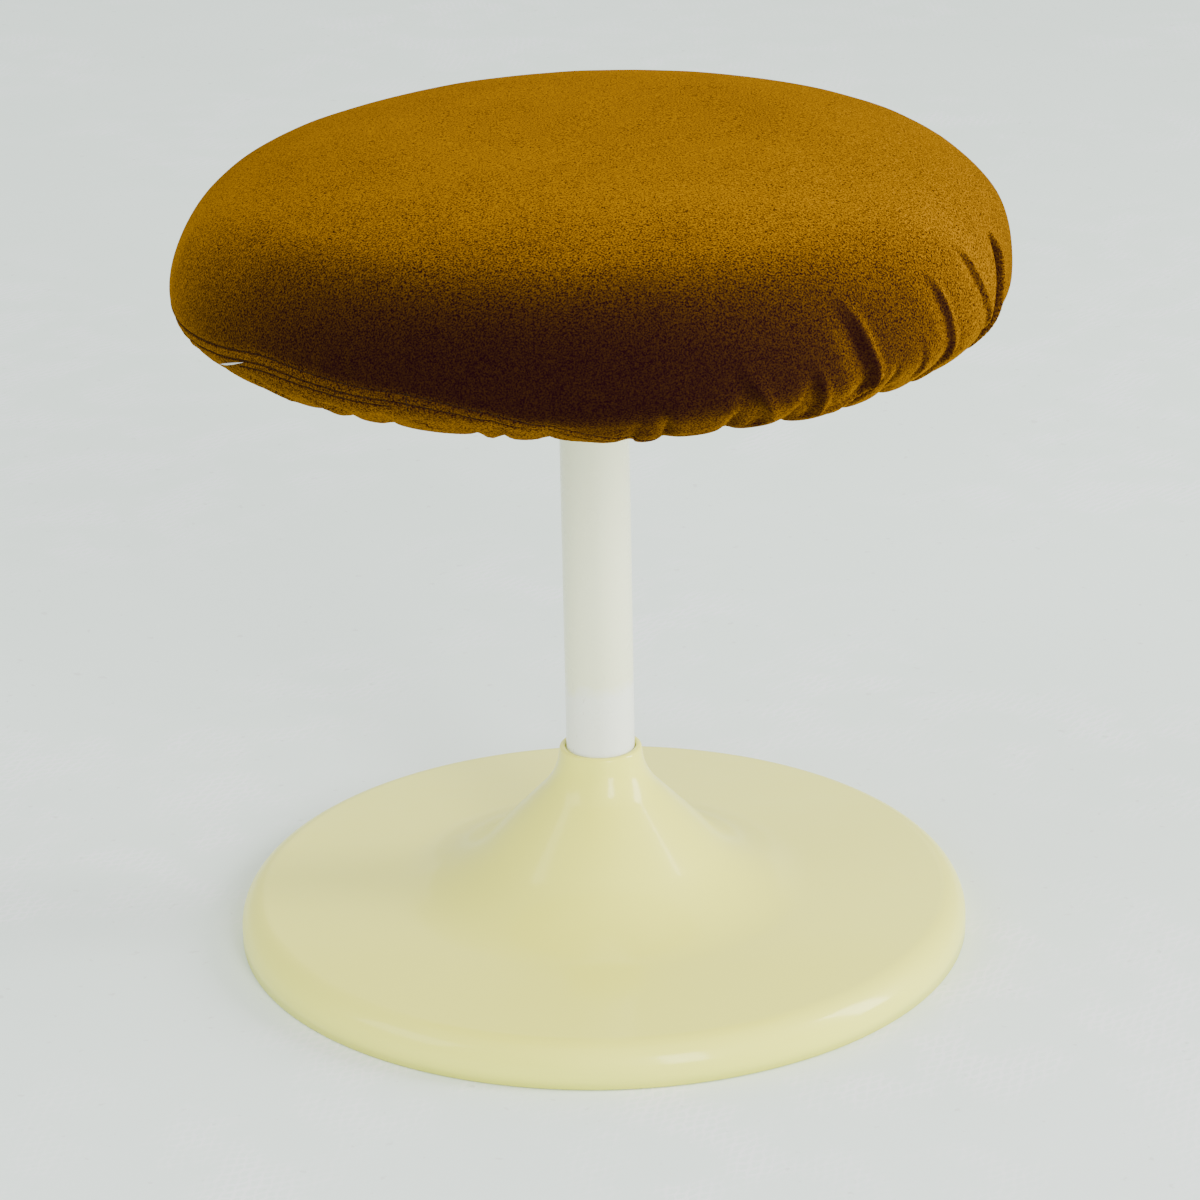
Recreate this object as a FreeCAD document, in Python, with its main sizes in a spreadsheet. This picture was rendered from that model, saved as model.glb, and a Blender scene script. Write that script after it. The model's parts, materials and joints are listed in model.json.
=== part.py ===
import FreeCAD, Part

import math
import os

import Sketcher

# A tulip stool. A moulded trumpet base covers an iron ballast plate, a lacquered steel tube
# stands on the plate, and a round upholstered seat turns on a spindle in the top of the tube.
# The origin is on the floor at the middle of the base, with +Z up. Lengths are millimetres.

SIZES = [
    # Trumpet base, a plastic moulding
    ("base_radius", 187.5),
    ("base_height", 100.0),
    ("shell_wall", 3.2),
    ("floor_gap", 0.9),
    ("rim_height", 21.6),
    ("rim_round", 14.5),
    ("skirt_radius", 78.9),
    ("skirt_height", 25.6),
    ("skirt_round", 72.0),
    ("neck_round", 34.0),
    ("collar_height", 15.8),
    ("collar_taper", 2.0),
    ("collar_wall", 3.0),
    ("collar_lip_round", 1.6),
    ("collar_clearance", 0.4),
    ("sleeve_wall", 2.4),
    ("sleeve_length", 48.0),
    ("rib_thickness", 2.4),
    ("rib_end_inset", 15.0),
    ("rib_gap", 0.6),
    ("boss_radius", 5.0),
    ("boss_inset", 41.0),
    ("boss_hole_depth", 8.0),
    # Ballast plate and the felt ring under it
    ("felt_thickness", 3.0),
    ("felt_inset", 3.0),
    ("felt_width", 22.0),
    ("plate_gap", 5.3),
    ("plate_thickness", 6.0),
    ("plate_edge_round", 1.5),
    # Column tube and its foot flange
    ("tube_radius", 17.5),
    ("tube_wall", 2.0),
    ("tube_top", 320.0),
    ("flange_radius", 46.0),
    ("flange_thickness", 6.0),
    ("flange_edge_round", 1.0),
    ("hub_wall", 5.0),
    ("hub_height", 20.0),
    ("hub_round", 3.0),
    ("press_clearance", 0.05),
    # Bolts between the plate and the flange, and the screws that hold the moulding
    ("flange_bolt_inset", 13.0),
    ("flange_bolt_radius", 4.0),
    ("flange_bolt_head_radius", 7.8),
    ("flange_bolt_head_height", 3.8),
    ("flange_bolt_grip", 5.4),
    ("counterbore_depth", 3.0),
    ("hole_clearance", 0.3),
    ("thread_clearance", 0.1),
    ("shell_screw_radius", 2.0),
    ("shell_screw_grip", 7.0),
    ("shell_screw_head_radius", 4.0),
    ("shell_screw_head_height", 2.2),
    ("drive_recess_radius", 1.6),
    ("drive_recess_depth", 1.2),
    # Swivel: two bushes in the tube, a spindle, a thrust washer and a retaining clip
    ("spindle_radius", 10.0),
    ("spindle_length", 118.0),
    ("spindle_head_radius", 19.0),
    ("spindle_head_height", 5.0),
    ("spindle_spigot_radius", 8.0),
    ("spindle_chamfer", 1.0),
    ("running_clearance", 0.06),
    ("upper_bush_length", 32.0),
    ("lower_bush_length", 20.0),
    ("bush_flange", 2.0),
    ("bush_flange_inset", 0.5),
    ("washer_thickness", 2.0),
    ("clip_thickness", 1.2),
    ("clip_depth", 1.0),
    ("clip_reach", 3.4),
    ("clip_end_distance", 5.0),
    ("clip_clearance", 0.3),
    # Seat plate, board and their fasteners
    ("seat_plate_width", 150.0),
    ("seat_plate_corner", 16.0),
    ("seat_plate_thickness", 4.0),
    ("seat_bolt_inset", 15.6),
    ("board_inset", 26.0),
    ("board_thickness", 15.0),
    ("board_edge_round", 2.5),
    ("tee_nut_radius", 4.0),
    ("tee_nut_flange_radius", 9.5),
    ("tee_nut_flange", 1.6),
    ("tee_nut_length", 11.0),
    ("bolt_radius", 3.0),
    ("bolt_length", 16.0),
    ("bolt_head_radius", 5.8),
    ("bolt_head_height", 3.6),
    ("bolt_washer_radius", 7.0),
    ("bolt_washer_thickness", 1.6),
    # Cushion: foam under a fabric cover
    ("cushion_radius", 207.0),
    ("cushion_height", 99.04),
    ("crown_flat_radius", 15.0),
    ("crown_corner_inset", 132.0),
    ("crown_drop", 22.8),
    ("side_flat", 5.8),
    ("under_round", 25.0),
    ("fabric_thickness", 1.8),
    ("fabric_gap", 0.3),
    # Hem of the cover, with an elastic cord in its tunnel
    ("hem_inset", 55.0),
    ("hem_tunnel_wall", 1.3),
    ("elastic_radius", 2.0),
    ("gather_depth", 3.0),
    # Folds that the loose cover draws up its side
    ("fold_height", 4.8),
    ("fold_width", 28.0),
    ("fold_sink", 1.6),
]
COUNTS = {
    "ribs": 6,
    "shell_bosses": 4,
    "flange_bolts": 4,
    "seat_bolts": 4,
    "gathers": 36,
}
CLIP_GAP_DEGREES = 70.0
HEAD_CHAMFER_SHARE = 0.25
OVERRUN = ("overrun", 2.0)

# Each gather is an arc between two valleys. Its sections climb the rounded lower edge of the
# cushion: a height as a share of that round, then how far the valleys lie inside the smooth
# outline and how far the peaks stand out, as shares of the depth of a gather.
GATHER_SHARES = [
    (0.0, 0.3, 1.6),
    (0.1, 0.35, 1.2),
    (0.24, 0.5, 0.9),
    (0.4, 0.4, 0.75),
    (0.64, 0.3, 0.4),
    (0.84, 0.0, 0.0),
]

# Each fold climbs the side of the cushion. Its strength is a share of the height and width of a
# fold, and its route gives the turn in degrees from the front, -Y, towards +X, and the height as
# a share of the cushion's own.
FOLD_SHARES = [
    (1.0, [(75.0, 0.70), (76.4, 0.53), (75.6, 0.39), (74.2, 0.25), (71.5, 0.15)]),
    (0.7, [(62.5, 0.66), (66.1, 0.47), (67.2, 0.31), (65.2, 0.18)]),
    (0.7, [(52.0, 0.57), (54.4, 0.40), (54.1, 0.26), (51.4, 0.15)]),
    (1.1, [(33.5, 0.68), (36.5, 0.50), (38.6, 0.36), (39.9, 0.25), (39.8, 0.14)]),
    (0.8, [(17.0, 0.50), (20.4, 0.34), (22.4, 0.22), (23.9, 0.11)]),
    (0.7, [(27.0, 0.42), (28.8, 0.29), (30.2, 0.20), (31.3, 0.10)]),
]
END_WIDTH_SHARE = 0.4

FULL_TURN_DEGREES = 360.0
HEXAGON_SIDE_COUNT = 6
FIRST_POINT_INDEX = 1
LAST_POINT_INDEX = 2
CENTRE_POINT_INDEX = 3
ORIGIN_INDEX = -1
UPRIGHT_AXIS_INDEX = -2


class Size:
    """A length together with the formula that ties it to the sheet of sizes."""

    def __init__(self, value, text):
        self.value = float(value)
        self.text = text

    def __add__(self, other):
        other = sized(other)
        return Size(self.value + other.value, f"({self.text} + {other.text})")

    def __sub__(self, other):
        other = sized(other)
        return Size(self.value - other.value, f"({self.text} - {other.text})")

    def __mul__(self, other):
        other = sized(other)
        return Size(self.value * other.value, f"({self.text} * {other.text})")

    def __truediv__(self, other):
        other = sized(other)
        return Size(self.value / other.value, f"({self.text} / {other.text})")


def sized(number):
    return number if isinstance(number, Size) else Size(number, repr(number))


doc = FreeCAD.newDocument("tulip_stool")
sheet = doc.addObject("Spreadsheet::Sheet", "Sizes")
for row, (alias, number) in enumerate(SIZES + [OVERRUN], start=1):
    sheet.set(f"A{row}", alias)
    sheet.set(f"B{row}", str(number))
    sheet.setAlias(f"B{row}", alias)
doc.recompute()


def size(alias):
    return Size(sheet.get(alias), f"Sizes.{alias}")


def new_body(label):
    body = doc.addObject("PartDesign::Body", label)
    body.Label = label
    return body


def plane_of(body, role):
    return next(f for f in body.Origin.OriginFeatures if f.Role == role)


def new_sketch(body, name, role="XZ_Plane"):
    sketch = body.newObject("Sketcher::SketchObject", name)
    sketch.AttachmentSupport = [(plane_of(body, role), "")]
    sketch.MapMode = "FlatFace"
    return sketch


def tie(sketch, kind, *where, value):
    """Adds a dimension to a sketch and binds it to the sheet."""
    index = sketch.addConstraint(Sketcher.Constraint(kind, *where, value.value))
    sketch.setExpression(f"Constraints[{index}]", value.text)


def place_point(sketch, geometry, point, x, y):
    """Fixes a point of a sketch at x, y from the sketch's origin."""
    if x.value == 0:
        sketch.addConstraint(Sketcher.Constraint("PointOnObject", geometry, point, UPRIGHT_AXIS_INDEX))
    else:
        tie(sketch, "DistanceX", ORIGIN_INDEX, FIRST_POINT_INDEX, geometry, point, value=x)
    tie(sketch, "DistanceY", ORIGIN_INDEX, FIRST_POINT_INDEX, geometry, point, value=y)


def outline(sketch, corners):
    """Draws a closed outline from its corners (x, y) or (x, y, round), each a Size."""
    points = [FreeCAD.Vector(c[0].value, c[1].value, 0) for c in corners]
    rounds = [c[2] if len(c) > 2 else None for c in corners]
    count = len(corners)
    starts, ends = {}, {}
    for i in range(count):
        before = (points[i - 1] - points[i]).normalize()
        after = (points[(i + 1) % count] - points[i]).normalize()
        reach = 0.0
        if rounds[i]:
            reach = rounds[i].value / math.tan(before.getAngle(after) / 2)
        ends[i] = points[i] + before * reach
        starts[i] = points[i] + after * reach
    lines = [
        sketch.addGeometry(Part.LineSegment(starts[i], ends[(i + 1) % count]), False)
        for i in range(count)
    ]
    for i in range(count):
        arriving, leaving = lines[i - 1], lines[i]
        if not rounds[i]:
            sketch.addConstraint(
                Sketcher.Constraint("Coincident", arriving, LAST_POINT_INDEX, leaving, FIRST_POINT_INDEX)
            )
            place_point(sketch, leaving, FIRST_POINT_INDEX, sized(corners[i][0]), sized(corners[i][1]))
            continue
        corner = sketch.addGeometry(Part.Point(points[i]), True)
        place_point(sketch, corner, FIRST_POINT_INDEX, sized(corners[i][0]), sized(corners[i][1]))
        sketch.addConstraint(Sketcher.Constraint("PointOnObject", corner, FIRST_POINT_INDEX, arriving))
        sketch.addConstraint(Sketcher.Constraint("PointOnObject", corner, FIRST_POINT_INDEX, leaving))
        add_round(sketch, arriving, leaving, ends[i], starts[i], points[i], rounds[i])


def add_round(sketch, arriving, leaving, start, end, corner, radius):
    """Rounds the corner between two lines of a sketch with a tangent arc."""
    middle = (start + end) * 0.5
    inwards = (middle - corner).normalize()
    half = (start - corner).Length
    centre = corner + inwards * math.hypot(half, radius.value)
    angles = [math.atan2(p.y - centre.y, p.x - centre.x) for p in (start, end)]
    turn = (angles[1] - angles[0]) % (2 * math.pi)
    circle = Part.Circle(centre, FreeCAD.Vector(0, 0, 1), radius.value)
    if turn < math.pi:
        arc = sketch.addGeometry(Part.ArcOfCircle(circle, angles[0], angles[0] + turn), False)
        first, last = FIRST_POINT_INDEX, LAST_POINT_INDEX
    else:
        back = 2 * math.pi - turn
        arc = sketch.addGeometry(Part.ArcOfCircle(circle, angles[1], angles[1] + back), False)
        first, last = LAST_POINT_INDEX, FIRST_POINT_INDEX
    sketch.addConstraint(Sketcher.Constraint("Tangent", arriving, LAST_POINT_INDEX, arc, first))
    sketch.addConstraint(Sketcher.Constraint("Tangent", leaving, FIRST_POINT_INDEX, arc, last))
    tie(sketch, "Radius", arc, value=radius)


def turn_about(body, name, corners, cut=False):
    """Revolves an outline about the body's Z axis."""
    sketch = new_sketch(body, name + "_outline")
    outline(sketch, corners)
    feature = body.newObject("PartDesign::Groove" if cut else "PartDesign::Revolution", name)
    feature.Profile = sketch
    feature.ReferenceAxis = (sketch, ["V_Axis"])
    feature.Angle = FULL_TURN_DEGREES
    body.Tip = feature
    return feature


def pattern(body, feature, count):
    """Repeats a feature evenly about the body's Z axis."""
    axis = next(f for f in body.Origin.OriginFeatures if f.Role == "Z_Axis")
    copies = body.newObject("PartDesign::PolarPattern", feature.Name + "_pattern")
    copies.Originals = [feature]
    copies.Axis = (axis, [""])
    copies.Angle = FULL_TURN_DEGREES
    copies.Occurrences = count
    body.Tip = copies
    return copies


def ring(body, name, inner, outer, low, high):
    return turn_about(body, name, [(inner, low), (outer, low), (outer, high), (inner, high)])


def place_on_circle(body, radius, index, count):
    """Stands a body at one of count even places on a circle, starting at 45 degrees."""
    angle = FULL_TURN_DEGREES / count * (index + 0.5)
    body.setExpression("Placement.Base.x", f"{radius.text} * cos({angle} deg)")
    body.setExpression("Placement.Base.y", f"{radius.text} * sin({angle} deg)")


def group(label, bodies):
    compound = doc.addObject("Part::Compound", label)
    compound.Label = label
    compound.Links = bodies
    return compound


def inset(chain, wall):
    """Moves an open chain of corners to its left by a wall, with its rounds to match."""
    points = [FreeCAD.Vector(sized(c[0]).value, sized(c[1]).value, 0) for c in chain]
    moved = []
    for i, corner in enumerate(chain):
        x, y = sized(corner[0]), sized(corner[1])
        runs = []
        if i > 0:
            runs.append((points[i] - points[i - 1]).normalize())
        if i + 1 < len(points):
            runs.append((points[i + 1] - points[i]).normalize())
        normals = [FreeCAD.Vector(-d.y, d.x, 0) for d in runs]
        if len(normals) == 1:
            shift = normals[0]
        else:
            shift = (normals[0] + normals[1]) / (1 + normals[0].dot(normals[1]))
        place = (x + wall * shift.x, y + wall * shift.y)
        if len(corner) < 3:
            moved.append(place)
        elif runs[0].cross(runs[1]).z > 0:
            moved.append(place + (corner[2] - wall,))
        else:
            moved.append(place + (corner[2] + wall,))
    return moved


def height_on(first, second, x):
    """The height, at x, of the straight line through two corners."""
    share = (x.value - first[0].value) / (second[0].value - first[0].value)
    return first[1] + (second[1] - first[1]) * share


def pad(body, name, sketch, length, both_ways=False):
    feature = body.newObject("PartDesign::Pad", name)
    feature.Profile = sketch
    feature.Midplane = both_ways
    feature.Length = length.value
    feature.setExpression("Length", length.text)
    body.Tip = feature
    return feature


def circle_sketch(body, name, x, y, radius, height):
    """A circle in a level sketch at a height above the body's origin."""
    sketch = new_sketch(body, name, "XY_Plane")
    sketch.setExpression("AttachmentOffset.Base.z", height.text)
    centre = FreeCAD.Vector(x.value, y.value, 0)
    circle = Part.Circle(centre, FreeCAD.Vector(0, 0, 1), radius.value)
    index = sketch.addGeometry(circle, False)
    place_point(sketch, index, CENTRE_POINT_INDEX, x, y)
    tie(sketch, "Radius", index, value=radius)
    return sketch


def holes(body, name, circle_radius, count, radius, bottom, depth):
    """Cuts a ring of round holes, from a height upwards, and checks that they cut."""
    doc.recompute()
    before = body.Tip.Shape.Volume
    side = circle_radius * math.sqrt(0.5)
    pocket = body.newObject("PartDesign::Pocket", name)
    pocket.Profile = circle_sketch(body, name + "_circle", side, side, radius, bottom)
    pocket.Reversed = True
    pocket.Length = depth.value
    pocket.setExpression("Length", depth.text)
    body.Tip = pocket
    pattern(body, pocket, count)
    doc.recompute()
    if body.Tip.Shape.Volume >= before:
        raise ValueError(f"{name} cuts nothing from {body.Label}")


nothing = sized(0)
overrun = size("overrun")
wall = size("shell_wall")
plate_bottom = size("felt_thickness")
plate_top = plate_bottom + size("plate_thickness")
flange_top = plate_top + size("flange_thickness")
collar_radius = size("tube_radius") + size("collar_clearance") + size("collar_wall")
neck_radius = collar_radius + size("collar_taper")
neck_height = size("base_height") - size("collar_height")
plate_radius = size("base_radius") - wall - size("plate_gap")
boss_circle_radius = plate_radius - size("boss_inset")
flange_bolt_circle_radius = size("flange_radius") - size("flange_bolt_inset")
tube_radius = size("tube_radius")
bush_flange_radius = tube_radius - size("bush_flange_inset")
tube_bore = tube_radius - size("tube_wall")
tube_top = size("tube_top")
spindle_hole = size("spindle_radius") + size("running_clearance")
washer_bottom = tube_top + size("bush_flange")
washer_top = washer_bottom + size("washer_thickness")
head_bottom = washer_top + size("running_clearance")
spindle_bottom = head_bottom - size("spindle_length")
clip_bottom = spindle_bottom + size("clip_end_distance")
seat_plate_bottom = head_bottom + size("spindle_head_height")
board_bottom = seat_plate_bottom + size("seat_plate_thickness")
board_top = board_bottom + size("board_thickness")
seat_bolt_circle_radius = (size("seat_plate_width") / 2 - size("seat_bolt_inset")) * math.sqrt(2)
board_radius = size("cushion_radius") - size("board_inset")
hem_radius = board_radius - size("hem_inset")
cover_bottom = board_bottom - size("fabric_gap") - size("fabric_thickness")
cushion_top = cover_bottom + size("cushion_height")
shoulder_height = cushion_top - size("crown_drop")
crown_slope = math.atan2(sheet.get("crown_drop"), sheet.get("crown_corner_inset"))
crown_corner_radius = size("cushion_radius") - size("crown_corner_inset")
crown_reach = crown_corner_radius - size("crown_flat_radius")
crown_round = crown_reach / math.tan(crown_slope / 2)
shoulder_centre = cover_bottom + size("under_round") + size("side_flat")
shoulder_round = (shoulder_height - shoulder_centre) / math.tan(math.pi / 4 - crown_slope / 2)

BASE_CHAIN = [
    (size("base_radius"), size("floor_gap")),
    (size("base_radius"), size("rim_height"), size("rim_round")),
    (size("skirt_radius"), size("skirt_height"), size("skirt_round")),
    (neck_radius, neck_height, size("neck_round")),
    (collar_radius, size("base_height"), size("collar_lip_round")),
    (nothing, size("base_height")),
]
CUSHION_CHAIN = [
    (nothing, cover_bottom),
    (size("cushion_radius"), cover_bottom, size("under_round")),
    (size("cushion_radius"), shoulder_height, shoulder_round),
    (crown_corner_radius, cushion_top, crown_round),
    (nothing, cushion_top),
]


def make_base_shell():
    """A trumpet moulding, open underneath, with a sleeve round the tube, ribs and bosses."""
    body = new_body("base_shell")
    turn_about(body, "trumpet", [(nothing, size("floor_gap"))] + BASE_CHAIN)
    sleeve_hole = tube_radius + size("collar_clearance")
    sleeve = sleeve_hole + size("sleeve_wall")
    sleeve_end = size("base_height") - size("sleeve_length")
    under = size("floor_gap") - overrun
    inner = inset(BASE_CHAIN, wall)
    turn_about(
        body,
        "hollow",
        [
            (nothing, under),
            (inner[0][0], under),
            inner[1],
            inner[2],
            (sleeve, height_on(inner[2], inner[3], sleeve)),
            (sleeve, sleeve_end),
            (nothing, sleeve_end),
        ],
        cut=True,
    )
    top = size("base_height") + overrun
    bore = [(nothing, under), (sleeve_hole, under), (sleeve_hole, top), (nothing, top)]
    turn_about(body, "tube_passage", bore, cut=True)
    add_shell_ribs(body)
    add_shell_bosses(body)
    return body


def add_shell_ribs(body):
    middle = inset(BASE_CHAIN, wall / 2)
    start = size("flange_radius") + size("rib_thickness")
    end = plate_radius - size("rib_end_inset")
    low = plate_top + size("rib_gap")
    sketch = new_sketch(body, "rib_outline")
    outline(
        sketch,
        [
            (start, low),
            (end, low),
            (end, height_on(middle[1], middle[2], end)),
            middle[2],
            (start, height_on(middle[2], middle[3], start)),
        ],
    )
    rib = pad(body, "rib", sketch, size("rib_thickness"), both_ways=True)
    pattern(body, rib, COUNTS["ribs"])


def add_shell_bosses(body):
    side = boss_circle_radius * math.sqrt(0.5)
    sketch = circle_sketch(body, "boss_circle", side, side, size("boss_radius"), plate_top)
    mean_height = (size("rim_height") + size("skirt_height")) / 2
    boss = pad(body, "boss", sketch, mean_height - wall / 2 - plate_top)
    pattern(body, boss, COUNTS["shell_bosses"])
    holes(
        body,
        "boss_holes",
        boss_circle_radius,
        COUNTS["shell_bosses"],
        size("shell_screw_radius") + size("thread_clearance"),
        plate_top,
        size("boss_hole_depth"),
    )


def make_ballast_plate():
    body = new_body("ballast_plate")
    edge = size("plate_edge_round")
    turn_about(
        body,
        "disc",
        [
            (nothing, plate_bottom),
            (plate_radius, plate_bottom, edge),
            (plate_radius, plate_top, edge),
            (nothing, plate_top),
        ],
    )
    through = size("plate_thickness") + overrun * 2
    clear = size("hole_clearance")
    low = plate_bottom - overrun
    bolt_hole = size("flange_bolt_radius") + clear
    screw_hole = size("shell_screw_radius") + clear
    head_hole = size("flange_bolt_head_radius") + clear
    deep = overrun + size("counterbore_depth")
    count = COUNTS["flange_bolts"]
    holes(body, "bolt_holes", flange_bolt_circle_radius, count, bolt_hole, low, through)
    holes(body, "counterbores", flange_bolt_circle_radius, count, head_hole, low, deep)
    count = COUNTS["shell_bosses"]
    holes(body, "screw_holes", boss_circle_radius, count, screw_hole, low, through)
    return body


def make_felt_ring():
    body = new_body("floor_felt_ring")
    outer = plate_radius - size("felt_inset")
    ring(body, "band", outer - size("felt_width"), outer, nothing, plate_bottom)
    return body


def make_foot_flange():
    """A turned flange with a hub that the column tube is pressed into."""
    body = new_body("foot_flange")
    bore = tube_radius + size("press_clearance")
    hub = bore + size("hub_wall")
    hub_top = plate_top + size("hub_height")
    edge = size("flange_edge_round")
    turn_about(
        body,
        "flange_and_hub",
        [
            (bore, plate_top),
            (size("flange_radius"), plate_top),
            (size("flange_radius"), flange_top, edge),
            (hub, flange_top, size("hub_round")),
            (hub, hub_top, edge),
            (bore, hub_top),
        ],
    )
    holes(
        body,
        "tapped_holes",
        flange_bolt_circle_radius,
        COUNTS["flange_bolts"],
        size("flange_bolt_radius") + size("thread_clearance"),
        plate_top - overrun,
        size("flange_thickness") + overrun * 2,
    )
    return body


def make_screw(name, radius, length, head_radius, head_height, seat):
    """A screw whose head seats at a height and whose shank runs up from there."""
    body = new_body(name)
    low = seat - head_height
    edge = head_height * HEAD_CHAMFER_SHARE
    turn_about(
        body,
        name + "_profile",
        [
            (nothing, low),
            (head_radius - edge, low),
            (head_radius, low + edge),
            (head_radius, seat),
            (radius, seat),
            (radius, seat + length),
            (nothing, seat + length),
        ],
    )
    doc.recompute()
    before = body.Tip.Shape.Volume
    recess = body.newObject("PartDesign::Pocket", name + "_drive")
    socket = size("drive_recess_radius")
    recess.Profile = hexagon_sketch(body, name + "_hexagon", socket, low)
    recess.Reversed = True
    recess.Length = size("drive_recess_depth").value
    recess.setExpression("Length", size("drive_recess_depth").text)
    body.Tip = recess
    doc.recompute()
    if body.Tip.Shape.Volume >= before:
        raise ValueError(f"the drive recess cuts nothing from {name}")
    return body


def hexagon_sketch(body, name, radius, height):
    sketch = new_sketch(body, name, "XY_Plane")
    sketch.setExpression("AttachmentOffset.Base.z", height.text)
    angles = [math.tau * i / HEXAGON_SIDE_COUNT for i in range(HEXAGON_SIDE_COUNT)]
    corners = [(radius * math.cos(a), radius * math.sin(a)) for a in angles]
    outline(sketch, corners)
    return sketch


def make_screw_group(label, circle_radius, count, **screw):
    bodies = []
    for index in range(count):
        body = make_screw(f"{label}_{index + 1}", **screw)
        place_on_circle(body, circle_radius, index, count)
        bodies.append(body)
    return group(label, bodies)


def make_column_tube():
    body = new_body("column_tube")
    ring(body, "tube", tube_bore, tube_radius, plate_top, tube_top)
    return body


def make_upper_bush():
    body = new_body("upper_bush")
    outer = tube_bore - size("press_clearance")
    low = tube_top - size("upper_bush_length")
    turn_about(
        body,
        "flanged_bush",
        [
            (spindle_hole, low),
            (outer, low),
            (outer, tube_top),
            (bush_flange_radius, tube_top),
            (bush_flange_radius, washer_bottom),
            (spindle_hole, washer_bottom),
        ],
    )
    return body


def make_lower_bush():
    body = new_body("lower_bush")
    outer = tube_bore - size("press_clearance")
    low = clip_bottom + size("clip_thickness") + size("clip_clearance")
    ring(body, "plain_bush", spindle_hole, outer, low, low + size("lower_bush_length"))
    return body


def make_thrust_washer():
    body = new_body("thrust_washer")
    ring(body, "washer", spindle_hole, bush_flange_radius, washer_bottom, washer_top)
    return body


def make_spindle():
    """A turned spindle: grooved shaft, round head under the seat plate and a locating spigot."""
    body = new_body("spindle")
    shaft = size("spindle_radius")
    head = size("spindle_head_radius")
    groove = shaft - size("clip_depth")
    groove_top = clip_bottom + size("clip_thickness") + size("running_clearance")
    chamfer = size("spindle_chamfer")
    turn_about(
        body,
        "turning",
        [
            (nothing, spindle_bottom),
            (shaft - chamfer, spindle_bottom),
            (shaft, spindle_bottom + chamfer),
            (shaft, clip_bottom),
            (groove, clip_bottom),
            (groove, groove_top),
            (shaft, groove_top),
            (shaft, head_bottom),
            (head, head_bottom),
            (head, seat_plate_bottom),
            (size("spindle_spigot_radius"), seat_plate_bottom),
            (size("spindle_spigot_radius"), board_bottom),
            (nothing, board_bottom),
        ],
    )
    return body


def make_retaining_clip():
    body = new_body("retaining_clip")
    inner = size("spindle_radius") - size("clip_depth") + size("press_clearance")
    outer = size("spindle_radius") + size("clip_reach")
    clip = ring(body, "clip", inner, outer, clip_bottom, clip_bottom + size("clip_thickness"))
    clip.Angle = FULL_TURN_DEGREES - CLIP_GAP_DEGREES
    return body


def make_seat_plate():
    """A square steel plate with rounded corners, on the spigot of the spindle."""
    body = new_body("seat_plate")
    half = size("seat_plate_width") / 2
    corner = size("seat_plate_corner")
    sketch = new_sketch(body, "plate_outline", "XY_Plane")
    sketch.setExpression("AttachmentOffset.Base.z", seat_plate_bottom.text)
    low = nothing - half
    outline(
        sketch,
        [(low, low, corner), (half, low, corner), (half, half, corner), (low, half, corner)],
    )
    thickness = size("seat_plate_thickness")
    pad(body, "plate", sketch, thickness)
    low = seat_plate_bottom - overrun
    through = thickness + overrun * 2
    spigot = size("spindle_spigot_radius") + size("press_clearance")
    centre = [
        (nothing, low),
        (spigot, low),
        (spigot, board_bottom + overrun),
        (nothing, board_bottom + overrun),
    ]
    turn_about(body, "spigot_hole", centre, cut=True)
    bolt_hole = size("bolt_radius") + size("hole_clearance")
    circle = seat_bolt_circle_radius
    count = COUNTS["seat_bolts"]
    holes(body, "bolt_holes_in_plate", circle, count, bolt_hole, low, through)
    return body


def make_seat_board():
    body = new_body("seat_board")
    edge = size("board_edge_round")
    turn_about(
        body,
        "round_board",
        [
            (nothing, board_bottom),
            (board_radius, board_bottom, edge),
            (board_radius, board_top, edge),
            (nothing, board_top),
        ],
    )
    circle = seat_bolt_circle_radius
    low = board_bottom - overrun
    through = size("board_thickness") + overrun * 2
    clear = size("thread_clearance")
    barrel = size("tee_nut_radius") + clear
    recess = size("tee_nut_flange_radius") + clear
    recess_bottom = board_top - size("tee_nut_flange")
    deep = size("tee_nut_flange") + overrun
    count = COUNTS["seat_bolts"]
    holes(body, "nut_holes", circle, count, barrel, low, through)
    holes(body, "nut_recesses", circle, count, recess, recess_bottom, deep)
    return body


def make_tee_nuts():
    bodies = []
    count = COUNTS["seat_bolts"]
    thread = size("bolt_radius") + size("thread_clearance")
    flange_bottom = board_top - size("tee_nut_flange")
    for index in range(count):
        body = new_body(f"tee_nut_{index + 1}")
        turn_about(
            body,
            f"tee_nut_profile_{index + 1}",
            [
                (thread, board_top - size("tee_nut_length")),
                (size("tee_nut_radius"), board_top - size("tee_nut_length")),
                (size("tee_nut_radius"), flange_bottom),
                (size("tee_nut_flange_radius"), flange_bottom),
                (size("tee_nut_flange_radius"), board_top),
                (thread, board_top),
            ],
        )
        place_on_circle(body, seat_bolt_circle_radius, index, count)
        bodies.append(body)
    return group("tee_nuts", bodies)


def make_bolt_washers():
    bodies = []
    count = COUNTS["seat_bolts"]
    inner = size("bolt_radius") + size("hole_clearance")
    low = seat_plate_bottom - size("bolt_washer_thickness")
    for index in range(count):
        body = new_body(f"bolt_washer_{index + 1}")
        name = f"washer_{index + 1}"
        ring(body, name, inner, size("bolt_washer_radius"), low, seat_plate_bottom)
        place_on_circle(body, seat_bolt_circle_radius, index, count)
        bodies.append(body)
    return group("seat_bolt_washers", bodies)


def make_foam_pad():
    """Foam over the board, wrapped down round its edge, just inside the cover."""
    body = new_body("foam_pad")
    skin = inset(CUSHION_CHAIN, size("fabric_thickness") + size("fabric_gap"))
    edge = board_radius + size("fabric_gap")
    outline_corners = [
        (nothing, board_top),
        (edge, board_top),
        (edge, skin[0][1]),
        skin[1],
        skin[2],
        skin[3],
        skin[4],
    ]
    turn_about(body, "foam", outline_corners)
    return body


def gather_height(height_share):
    return cover_bottom + size("under_round") * height_share


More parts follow.
